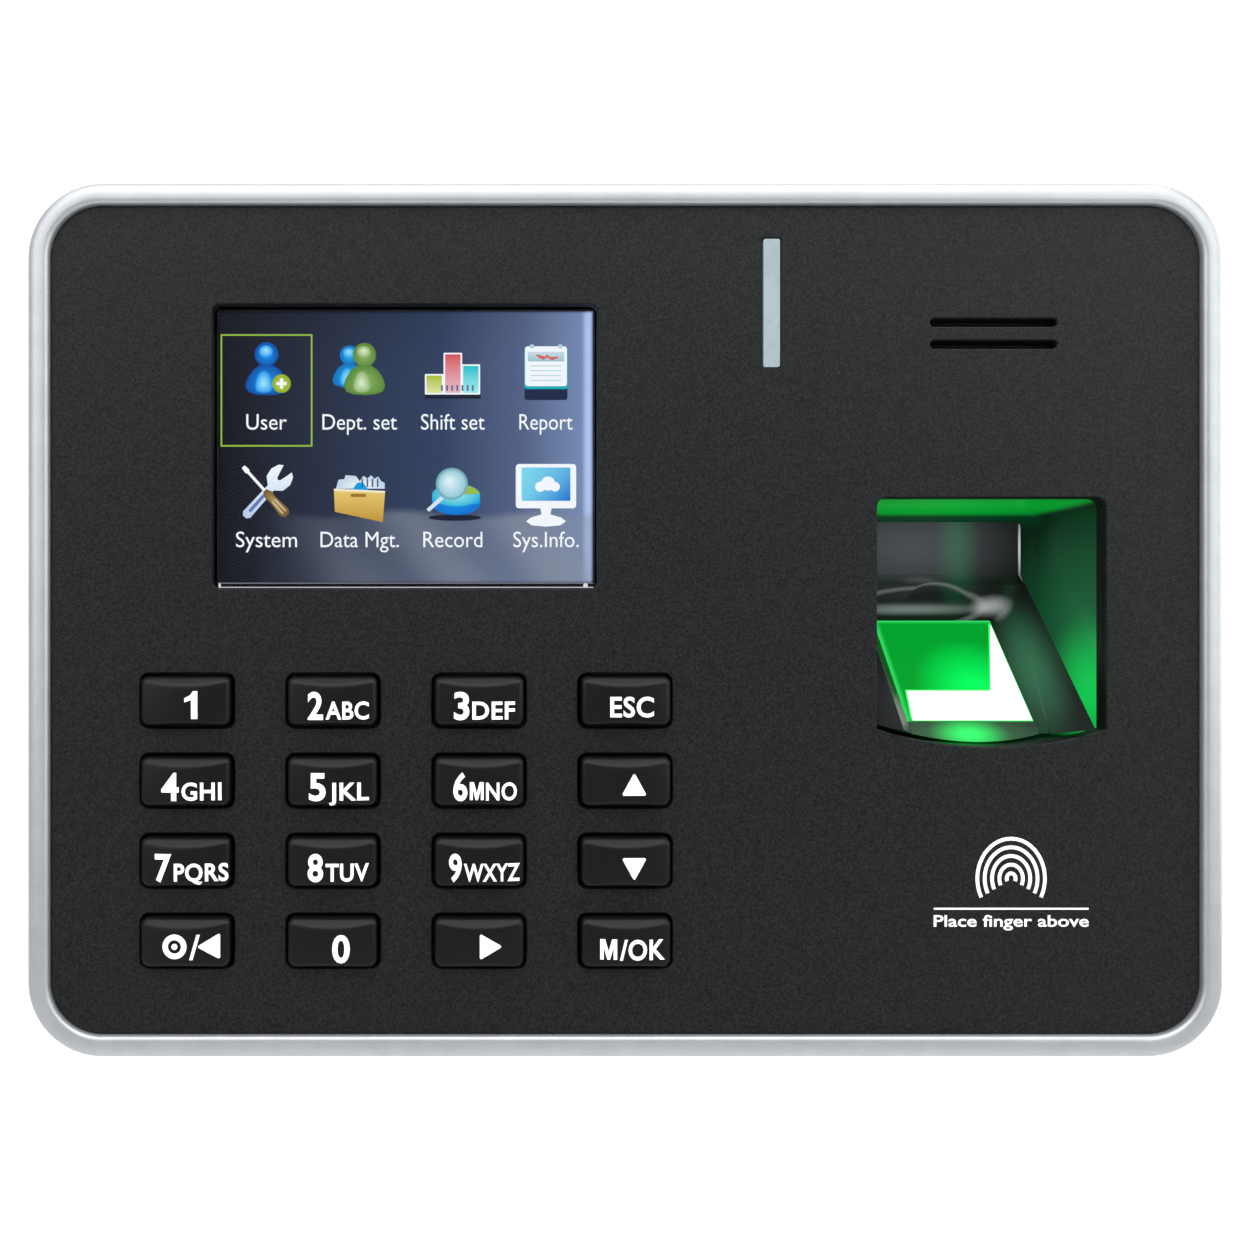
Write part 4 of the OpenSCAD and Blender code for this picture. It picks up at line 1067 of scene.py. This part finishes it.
def menu_back(left, right, bottom, top):
    """The menu's backdrop: deep blue that pales to the right, with a reflection across its lower part."""
    def tint(x, y):
        u, v = (x - left) / (right - left), (y - bottom) / (top - bottom)
        if not (0 <= u <= 1 and 0 <= v <= 1):
            return 0.0015, 0.0015, 0.002
        base = along(BACKDROP, u)
        base = mixed(base, (0.010, 0.012, 0.022), 0.45 * max(0.0, (v - 0.80) / 0.2) * (1 - u))
        haze = min(max((0.265 + 0.012 * math.sin(16 * u) - v) / 0.03, 0), 1) * min(max((u - 0.10) / 0.35, 0), 1)
        streak = 0.75 + 0.25 * math.sin(22 * (u + 0.55 * v))
        base = mixed(base, (0.25, 0.28, 0.35), 0.66 * haze * streak * (0.3 + u))
        return base
    return tint


def menu_picture(terminal):
    """The lit menu: eight icons with their words, a frame round the chosen one, and painted reflections of the
    window's lower edge and corners.
    """
    settings, screen = terminal.display, Box("display_panel")
    picture = Picture()
    middle_x, middle_y = screen.x + settings.lit_shift[0], screen.y + settings.lit_shift[1]
    left, right = middle_x - settings.lit_width / 2, middle_x + settings.lit_width / 2
    bottom, top = middle_y - settings.lit_height / 2, middle_y + settings.lit_height / 2
    backdrop = menu_back(left, right, bottom, top)
    picture.grid(screen.left, screen.right, screen.bottom, screen.top, 140, 96, backdrop, 1)
    # Painted reflections: two thin lines along the window's lower edge and a bright glint at each lower corner
    for y, shade in ((bottom - 0.1 * MM, (0.20, 0.20, 0.24)), (bottom - 0.75 * MM, (0.55, 0.55, 0.56))):
        picture.plate(rounded(middle_x, y, settings.lit_width, 0.16 * MM, 0.05 * MM, 2), shade, 3)
    for x in (left + 0.5 * MM, right - 1.2 * MM):
        picture.plate(rounded(x, bottom - 0.45 * MM, 0.7 * MM, 0.7 * MM, 0.3 * MM, 4), (0.75, 0.75, 0.78), 4)
    for i, (draw, label, wide) in enumerate(ICONS):
        row, column = divmod(i, 4)
        x = screen.x + (column - 1.5) * settings.pitch_x
        draw(picture, x, screen.y + settings.icon_rows[row])
        words = text_mesh(label, settings.letter, thickness=LAYER)
        widen(words, wide * MM)
        picture.words(words, x - wide * MM / 2, screen.y + settings.label_rows[row], WHITE, 4)
    x, y = screen.x - 1.5 * settings.pitch_x, screen.y + 9.3 * MM
    outer = rounded(x, y, 14.3 * MM, 17.5 * MM, 0.1 * MM, 2)
    inner = rounded(x, y, 13.8 * MM, 17.0 * MM, 0.05 * MM, 2)
    picture.band(outer, inner, (0.30, 0.52, 0.05), 3)
    place = STAND @ Matrix.Translation((0, 0, screen.front + 0.01 * MM))
    return picture.mesh("menu_picture", place)


class TERMINAL_OT_display(BuildStep, bpy.types.Operator):
    """Draw the lit menu and finish the display's parts"""

    bl_idname = "terminal.display"
    bl_label = "Display"

    def build(self, terminal, looks):
        picture = lit_picture("lit_menu", terminal.display.brightness)
        piece("menu_picture", menu_picture(terminal), picture)
        dress(looks, {"chip": "display_panel", "glass": "display_window", "foam": "display_gasket",
                      "tin": "display_frame", "film": "display_flex"})


# ---------- finger sensor ----------

def slope_matrix(terminal):
    """From the glass's own plane, x across and y up the slope from its middle, to the frame."""
    prism, sensor = Box("sensor_prism"), terminal.sensor
    run = sensor.glass_length / 2
    y = prism.top - run * math.cos(sensor.slope)
    z = prism.front - run * math.sin(sensor.slope)
    return STAND @ Matrix.Translation((prism.x, y, z)) @ Matrix.Rotation(-sensor.slope, 4, "X")


def glow_picture(terminal):
    """The glass's light: green, brighter towards the lamps, with their white reflection in an L."""
    prism, sensor = Box("sensor_prism"), terminal.sensor
    half, run = prism.width / 2, sensor.glass_length / 2
    glow = tuple(sensor.glow)

    def tint(x, y):
        near = max(0.0, 1 - math.hypot((x - 0.3 * half) / half, (y + 0.5 * run) / (1.1 * run)))
        edge = max(0.0, (y / run - 0.93) / 0.07) + max(0.0, (abs(x) / half - 0.95) / 0.05)
        bright = mixed(glow, (0.0, 1.0, 0.11), near * 1.3)
        return mixed(bright, (0.05, 0.95, 0.20), min(edge, 1.0) * 0.7)

    picture = Picture()
    picture.grid(-half, half, -run, run, 24, 28, tint, 1)
    white, green = (1.4, 1.6, 1.4), (0.05, 1.2, 0.15)
    corner, apex = (0.515 * half, -0.43 * run), (0.975 * half, 0.90 * run)
    for grow, shade, layer in ((0.22 * MM, green, 2), (0.0, white, 4)):
        low = -0.985 * run + grow
        picture.plate([(-0.85 * half - grow, corner[1] + grow), (-0.92 * half - grow, low), (0.985 * half, low),
                       (0.985 * half, corner[1] + grow)], shade, layer)
        picture.plate([(corner[0] - grow, corner[1]), (0.985 * half, corner[1]), (0.985 * half, apex[1] + grow),
                       (apex[0] - grow, apex[1] + grow)], shade, layer)
    return picture.mesh("sensor_glow", slope_matrix(terminal) @ Matrix.Translation((0, 0, 0.01 * MM)))


def soft_guide():
    """The finger guide with its edges rounded, from the guide's own mesh."""
    work = cad_work("finger_guide")
    bmesh.ops.dissolve_limit(work, angle_limit=math.radians(1), verts=work.verts, edges=work.edges)
    mesh = bpy.data.meshes.new("soft_guide")
    work.to_mesh(mesh)
    work.free()
    holder = placed("soft_guide", mesh)
    rounding = holder.modifiers.new("rounding", "BEVEL")
    rounding.width, rounding.segments, rounding.limit_method = 0.4 * MM, 3, "ANGLE"
    rounding.angle_limit = math.radians(25)
    made = evaluated_mesh(holder)
    clean(made, 50)
    rest_normals(made, 50)
    return made


def spot_group():
    """Light that has fallen on a surface round one place, as a filled spot or, with Ring at 1, along a ring."""
    name = "Light Spot"
    if name in bpy.data.node_groups:
        return bpy.data.node_groups[name]
    tree, given, out = new_group(
        name, "ShaderNodeTree", (("Tint", "Color"), ("Centre", "Vector"), ("Reach", "Vector"), ("Ring", "Float")),
        (("Colour", "Color"),))
    place = tree.nodes.new("ShaderNodeTexCoord")
    away = node(tree, "ShaderNodeVectorMath", operation="SUBTRACT")
    share = node(tree, "ShaderNodeVectorMath", operation="DIVIDE")
    far = node(tree, "ShaderNodeVectorMath", operation="LENGTH")
    fall = node(tree, "ShaderNodeMapRange", interpolation_type="SMOOTHSTEP")
    fall.inputs["From Min"].default_value, fall.inputs["From Max"].default_value = 1.0, 0.0
    scale = node(tree, "ShaderNodeVectorMath", operation="SCALE")
    off, near = maths(tree, "SUBTRACT"), maths(tree, "ABSOLUTE")
    ring_sharpness = 6.0
    thin, width = maths(tree, "MULTIPLY_ADD", None, ring_sharpness, 1.0), maths(tree, "MULTIPLY")
    wire(tree, (place, "Object", away, 0), (given, "Centre", away, 1), (away, 0, share, 0),
         (given, "Reach", share, 1), (share, 0, far, 0), (far, "Value", off, 0), (given, "Ring", off, 1),
         (off, 0, near, 0), (given, "Ring", thin, 0), (near, 0, width, 0), (thin, 0, width, 1),
         (width, 0, fall, "Value"), (given, "Tint", scale, 0), (fall, "Result", scale, "Scale"),
         (scale, 0, out, "Colour"))
    return tree


def lit_spots(material, spots):
    """Adds light spots to a material's glow: colour, middle and reach, seen from the front, and 1 for a ring."""
    tree = material.node_tree
    shader = shader_of(material)
    target = shader.inputs["Emission Color"]
    for tint, centre, reach, *ring in spots:
        spot = tree.nodes.new("ShaderNodeGroup")
        spot.node_tree = spot_group()
        spot.inputs["Tint"].default_value = (*tint, 1)
        spot.inputs["Ring"].default_value = ring[0] if ring else 0.0
        spot.inputs["Centre"].default_value = stand([[c * MM for c in centre]])[0]
        spot.inputs["Reach"].default_value = (reach[0] * MM, reach[2] * MM, reach[1] * MM)
        if target.is_linked:
            both = node(tree, "ShaderNodeVectorMath", operation="ADD")
            tree.links.new(target.links[0].from_socket, both.inputs[0])
            wire(tree, (spot, "Colour", both, 1), (both, 0, shader, "Emission Color"))
        else:
            wire(tree, (spot, "Colour", shader, "Emission Color"))


class TERMINAL_OT_sensor(BuildStep, bpy.types.Operator):
    """Paint the light of the sensor's glass, paint light and highlights onto its recess and guide, and finish them
    """

    bl_idname = "terminal.sensor"
    bl_label = "Finger Sensor"

    def build(self, terminal, looks):
        piece("sensor_glow", glow_picture(terminal), lit_picture("lit_glass", 1.0))
        x, top = Box("sensor_prism").x / MM, Box("sensor_well").top / MM
        # Painted light on the recess walls: a green band on the top wall, a dim green strip below it, and green
        # light on the right wall, brightest low down
        lit_spots(looks["well"], (
            ((0.0, 0.36, 0.025), (x - 1, top - 1.3, 27), (60, 1.0, 26)),
            ((0.0, 0.03, 0.01), (x, top - 2.4, 18), (40, 2.5, 4)),
            ((0.010, 0.095, 0.035), (x + 17.4, -1, 30), (7, 26, 24)),
            ((0.0, 0.50, 0.06), (x + 17.4, -12, 33), (6, 15, 14)),
        ))
        dress(looks, {"well": "sensor_well"})
        # Painted light and highlights on the finger guide: grey and green light on the stop face, a bright
        # highlight line at its right edge, green light on the lip and the right facet, pale highlights on the ledge
        # and a facet, faint light at the left, and a highlight ring along the notch's rim
        lit_spots(looks["guide"], (
            ((0.056, 0.058, 0.068), (x - 4, 13, 18.7), (24, 11, 4)),
            ((0.0, 0.06, 0.02), (x + 3.6, 13, 18.7), (4.5, 16, 4)),
            ((0.6, 0.6, 0.65), (x + 14.2, 12.6, 18.7), (0.36, 7.2, 3)),
            ((0.0, 0.90, 0.11), (x - 1, -18, 32), (7, 3.6, 5)),
            ((0.0, 0.12, 0.02), (x - 1, -18, 32), (17, 4, 6)),
            ((0.024, 0.13, 0.06), (x + 11.8, -7, 27), (3.4, 20, 14)),
            ((0.20, 0.25, 0.23), (x - 4, 1.9, 18.4), (18, 1.7, 1.6)),
            ((0.30, 0.32, 0.31), (x + 9.6, 2.6, 18.4), (4.6, 3.0, 2)),
            ((0.025, 0.027, 0.027), (x - 14.4, -13, 34), (3, 15, 14)),
            ((0.085, 0.093, 0.09), (x - 3, 1.2, 18.4), (11.5, 6.0, 2.4), 1.0),
        ))
        piece("soft_guide", soft_guide(), looks["guide"], replaces=["finger_guide"])
        dress(looks, {"prism": "sensor_prism", "led": "sensor_leds", "lens": "sensor_lens",
                      "board": "sensor_led_board sensor_camera_board", "flat_cable": "sensor_cable"})


# ---------- light and sound ----------

def grid_tree():
    """Geometry nodes: small round bars laid out in a grid, as a woven dust cloth."""
    tree, given, out = new_group(
        "Woven Cloth", "GeometryNodeTree",
        (("Width", "Float", 0.02), ("Height", "Float", 0.006), ("Thread", "Float", 0.0002), ("Across", "Int", 40),
         ("Down", "Int", 12), ("Material", "Material")), (("Geometry", "Geometry"),))
    join = tree.nodes.new("GeometryNodeJoinGeometry")
    for axis, span, count, reach_of, turn in (("X", "Width", "Across", "Height", (math.pi / 2, 0, 0)),
                                              ("Y", "Height", "Down", "Width", (0, math.pi / 2, 0))):
        line = node(tree, "GeometryNodeMeshLine", mode="END_POINTS")
        ends = []
        for sign in (-0.5, 0.5):
            half = maths(tree, "MULTIPLY", None, sign)
            wire(tree, (given, span, half, 0))
            point = tree.nodes.new("ShaderNodeCombineXYZ")
            wire(tree, (half, 0, point, axis))
            ends.append(point)
        reach = node(tree, "ShaderNodeVectorMath", operation="SUBTRACT")
        wire(tree, (ends[1], 0, reach, 0), (ends[0], 0, reach, 1), (given, count, line, "Count"),
             (ends[0], 0, line, "Start Location"), (ends[1], 0, line, "Offset"))
        thread = node(tree, "GeometryNodeMeshCylinder", Vertices=6)
        wire(tree, (given, "Thread", thread, "Radius"), (given, reach_of, thread, "Depth"))
        lay = node(tree, "GeometryNodeTransform")
        lay.inputs["Rotation"].default_value = turn
        wire(tree, (thread, "Mesh", lay, "Geometry"))
        spread = tree.nodes.new("GeometryNodeInstanceOnPoints")
        wire(tree, (line, "Mesh", spread, "Points"), (lay, "Geometry", spread, "Instance"),
             (spread, "Instances", join, "Geometry"))
    real = tree.nodes.new("GeometryNodeRealizeInstances")
    paint = tree.nodes.new("GeometryNodeSetMaterial")
    wire(tree, (join, "Geometry", real, "Geometry"), (real, "Geometry", paint, "Geometry"),
         (given, "Material", paint, "Material"), (paint, "Geometry", out, "Geometry"))
    return tree


def from_tree(name, tree, values, matrix):
    """The plain mesh that a geometry node tree makes with the given inputs, by name."""
    holder = placed(name, bpy.data.meshes.new(name))
    modifier = holder.modifiers.new(name, "NODES")
    modifier.node_group = tree
    sockets = {s.name: s.identifier for s in tree.interface.items_tree if s.in_out == "INPUT"}
    for label, value in values.items():
        modifier[sockets[label]] = value
    graph = bpy.context.evaluated_depsgraph_get()
    graph.update()
    mesh = bpy.data.meshes.new_from_object(holder.evaluated_get(graph), depsgraph=graph)
    holder.modifiers.clear()
    bpy.data.objects.remove(holder)
    mesh.transform(matrix)
    return mesh


class TERMINAL_OT_signals(BuildStep, bpy.types.Operator):
    """Finish the status light and the speaker, with the cloth behind the slots"""

    bl_idname = "terminal.signals"
    bl_label = "Light and Sound"

    def build(self, terminal, looks):
        speaker, panel = Box("speaker_frame"), Box("front_panel")
        place = STAND @ Matrix.Translation((speaker.x, speaker.y, panel.front - 2.7 * MM))
        cloth = from_tree("speaker_cloth", grid_tree(), {
            "Width": 21 * MM, "Height": 6.5 * MM, "Thread": 0.12 * MM, "Across": 42, "Down": 14,
            "Material": looks["foam"]}, place)
        piece("speaker_cloth", cloth, None)
        dress(looks, {"bar": "status_light_guide", "board": "status_led_board", "tin": "speaker_frame",
                      "paper": "speaker_cone", "foam": "speaker_gasket", "wire": "speaker_lead"})


# ---------- mark ----------

def ridge_tree():
    """Geometry nodes: arched ridges one inside the other, as a plain fingerprint mark."""
    tree, given, out = new_group(
        "Finger Ridges", "GeometryNodeTree",
        (("Arcs", "Int", 5), ("Step", "Float", 0.001), ("Stroke", "Float", 0.0004), ("Material", "Material")),
        (("Geometry", "Geometry"),))
    points = node(tree, "GeometryNodeMeshLine", mode="OFFSET")
    points.inputs["Offset"].default_value = (0, 0, 0)
    wire(tree, (given, "Arcs", points, "Count"))
    unit = node(tree, "GeometryNodeCurveArc", mode="RADIUS", Resolution=33)
    unit.inputs["Radius"].default_value = 1.0
    unit.inputs["Start Angle"].default_value = math.radians(-28)
    unit.inputs["Sweep Angle"].default_value = math.radians(236)
    spread = tree.nodes.new("GeometryNodeInstanceOnPoints")
    index = tree.nodes.new("GeometryNodeInputIndex")
    first_radius, stretch = 0.6, 1.18
    plus, size = maths(tree, "ADD", None, first_radius), maths(tree, "MULTIPLY")
    tall = maths(tree, "MULTIPLY", None, stretch)
    scale = tree.nodes.new("ShaderNodeCombineXYZ")
    scale.inputs["Z"].default_value = 1.0
    real = tree.nodes.new("GeometryNodeRealizeInstances")
    section = node(tree, "GeometryNodeCurvePrimitiveCircle", Resolution=8)
    tube = tree.nodes.new("GeometryNodeCurveToMesh")
    tube.inputs["Fill Caps"].default_value = True
    flat = node(tree, "GeometryNodeTransform")
    flat.inputs["Scale"].default_value = (1, 1, 0.12)
    paint = tree.nodes.new("GeometryNodeSetMaterial")
    wire(tree, (points, "Mesh", spread, "Points"), (unit, "Curve", spread, "Instance"), (index, 0, plus, 0),
         (plus, 0, size, 0), (given, "Step", size, 1), (size, 0, tall, 0), (size, 0, scale, "X"),
         (tall, 0, scale, "Y"), (scale, 0, spread, "Scale"), (spread, "Instances", real, "Geometry"))
    half = maths(tree, "MULTIPLY", None, 0.5)
    wire(tree, (given, "Stroke", half, 0), (half, 0, section, "Radius"), (real, "Geometry", tube, "Curve"),
         (section, "Curve", tube, "Profile Curve"), (tube, "Mesh", flat, "Geometry"),
         (flat, "Geometry", paint, "Geometry"), (given, "Material", paint, "Material"),
         (paint, "Geometry", out, "Geometry"))
    return tree


class TERMINAL_OT_mark(BuildStep, bpy.types.Operator):
    """Print the plain fingerprint mark, its line and its caption"""

    bl_idname = "terminal.mark"
    bl_label = "Mark"

    def build(self, terminal, looks):
        mark = terminal.mark
        panel, prism = Box("front_panel"), Box("sensor_prism")
        x, y, z = prism.x + 2.9 * MM, panel.y - mark.drop, panel.front
        ridges = from_tree("ridge_mark", ridge_tree(), {
            "Arcs": mark.arcs, "Step": 1.12 * MM, "Stroke": mark.stroke,
            "Material": looks["legend"]}, STAND @ Matrix.Translation((x, y + 4.6 * MM, z + ABOVE)))
        clean(ridges)
        piece("ridge_mark", ridges, None)
        line = plate("mark_line", [rounded(x, y, mark.width, 0.28 * MM, 0.06 * MM, 3)], z - 0.03 * MM,
                     z + 0.03 * MM, 0.005 * MM)
        caption = text_mesh("Place finger above", 1.75 * MM, bold=0.012, narrow=0.86)
        widen(caption, mark.width)
        caption.transform(STAND @ Matrix.Translation((x - mark.width / 2, y - 2.7 * MM, z + ABOVE)))
        piece("mark_caption", joined("mark_caption", [line, caption]), looks["legend"])


# ---------- inside ----------

class TERMINAL_OT_inside(BuildStep, bpy.types.Operator):
    """Finish the main board, its parts and the sockets"""

    bl_idname = "terminal.inside"
    bl_label = "Board and Sockets"

    def build(self, terminal, looks):
        dress(looks, {"board": "main_board", "chip": "main_chips power_jack coin_cell_holder",
                      "ivory": "board_connectors", "tin": "power_jack_pin ethernet_jack usb_port reset_switch",
                      "nylon": "usb_tongue", "cell": "coin_cell", "reset": "reset_button"})


# ---------- stage ----------

def area_light(name, place, target, size, power, tint=(1, 1, 1)):
    """A soft rectangular lamp that looks at a point."""
    data = bpy.data.lights.new(name, "AREA")
    data.shape, data.size, data.size_y, data.energy, data.color = "RECTANGLE", size[0], size[1], power, tint
    lamp = placed(name, data)
    lamp.location = place
    lamp.rotation_euler = (Vector(target) - Vector(place)).to_track_quat("-Z", "Y").to_euler()


def stage_sheet(name, corners, material):
    sheet = placed(name, mesh_of(name, corners, [(0, 1, 2, 3)], smooth=False))
    sheet.data.materials.append(material)


class TERMINAL_OT_stage(bpy.types.Operator):
    """Set up the camera, the pale floor and backdrop, and soft light"""

    bl_idname = "terminal.stage"
    bl_label = "Stage"

    def execute(self, context):
        scene, settings = context.scene, context.scene.terminal.stage
        panel = Box("front_panel")
        data = bpy.data.cameras.new("camera")
        data.lens, data.sensor_width, data.shift_x, data.shift_y = settings.lens, 36, 0.12, 0.012
        data.clip_start = 0.01
        camera = placed("camera", data)
        camera.location = (settings.across, -(panel.front + settings.distance), settings.up)
        camera.rotation_euler = (math.pi / 2, 0, 0)
        scene.camera = camera

        pale = finish("stage_pale", (0.86, 0.86, 0.86), (0.84, 0.84, 0.84), (0.8, 0.9), 40, 2, 0.0)
        bright = finish("stage_bright", (0.9, 0.9, 0.9), (0.9, 0.9, 0.9), (0.8, 0.9), 40, 2, 0.0,
                        Emission_Color=(1, 1, 1, 1), Emission_Strength=1.0)
        stage_sheet("floor", [(-3, -3, -0.7), (3, -3, -0.7), (3, 0.6, -0.7), (-3, 0.6, -0.7)], pale)
        stage_sheet("backdrop", [(-3, 0.6, -0.7), (3, 0.6, -0.7), (3, 0.6, 3), (-3, 0.6, 3)], bright)

        middle = (0, -0.03, 0)
        area_light("overhead", (0.05, -0.45, 0.75), middle, (1.4, 0.8), 13.0)
        area_light("front_left", (-0.9, -0.9, 0.35), middle, (0.7, 0.9), 4.5, (1.0, 0.96, 1.03))
        area_light("front_right", (0.9, -0.8, 0.25), middle, (0.5, 0.8), 4.0, (0.94, 1.02, 1.0))
        area_light("side_right", (0.9, -0.05, 0.15), middle, (0.4, 0.7), 2.5)
        world = bpy.data.worlds.new("soft_sky")
        world.use_nodes = True
        world.node_tree.nodes["Background"].inputs["Color"].default_value = (0.82, 0.84, 0.86, 1)
        world.node_tree.nodes["Background"].inputs["Strength"].default_value = 0.55
        scene.world = world
        scene.view_settings.view_transform = "Standard"
        scene.view_settings.look = "None"
        return {"FINISHED"}


# ---------- panel and registration ----------

class TerminalSettings(bpy.types.PropertyGroup):
    """All settings of the terminal."""

    housing: PointerProperty(type=HousingSettings)
    keypad: PointerProperty(type=KeypadSettings)
    display: PointerProperty(type=DisplaySettings)
    sensor: PointerProperty(type=SensorSettings)
    mark: PointerProperty(type=MarkSettings)
    stage: PointerProperty(type=StageSettings)


OPERATORS = (TERMINAL_OT_housing, TERMINAL_OT_keypad, TERMINAL_OT_display, TERMINAL_OT_sensor,
             TERMINAL_OT_signals, TERMINAL_OT_mark, TERMINAL_OT_inside, TERMINAL_OT_stage)


class TERMINAL_PT_sidebar(bpy.types.Panel):
    """Builds the terminal's pieces and shows their settings."""

    bl_idname = "TERMINAL_PT_sidebar"
    bl_label = "Fingerprint Terminal"
    bl_space_type = "VIEW_3D"
    bl_region_type = "UI"
    bl_category = "Terminal"

    def draw(self, context):
        for operator in OPERATORS:
            self.layout.operator(operator.bl_idname)
        terminal = context.scene.terminal
        for group in (terminal.housing, terminal.keypad, terminal.display, terminal.sensor, terminal.mark,
                      terminal.stage):
            box = self.layout.box()
            for name in group.__annotations__:
                box.prop(group, name)


CLASSES = (HousingSettings, KeypadSettings, DisplaySettings, SensorSettings, MarkSettings, StageSettings,
           TerminalSettings, *OPERATORS, TERMINAL_PT_sidebar)


def register():
    for cls in CLASSES:
        bpy.utils.register_class(cls)
    bpy.types.Scene.terminal = PointerProperty(type=TerminalSettings)


def unregister():
    del bpy.types.Scene.terminal
    for cls in reversed(CLASSES):
        bpy.utils.unregister_class(cls)


def main():
    register()
    bpy.ops.terminal.housing()
    bpy.ops.terminal.keypad()
    bpy.ops.terminal.display()
    bpy.ops.terminal.sensor()
    bpy.ops.terminal.signals()
    bpy.ops.terminal.mark()
    bpy.ops.terminal.inside()
    bpy.ops.terminal.stage()


if __name__ == "__main__":
    main()
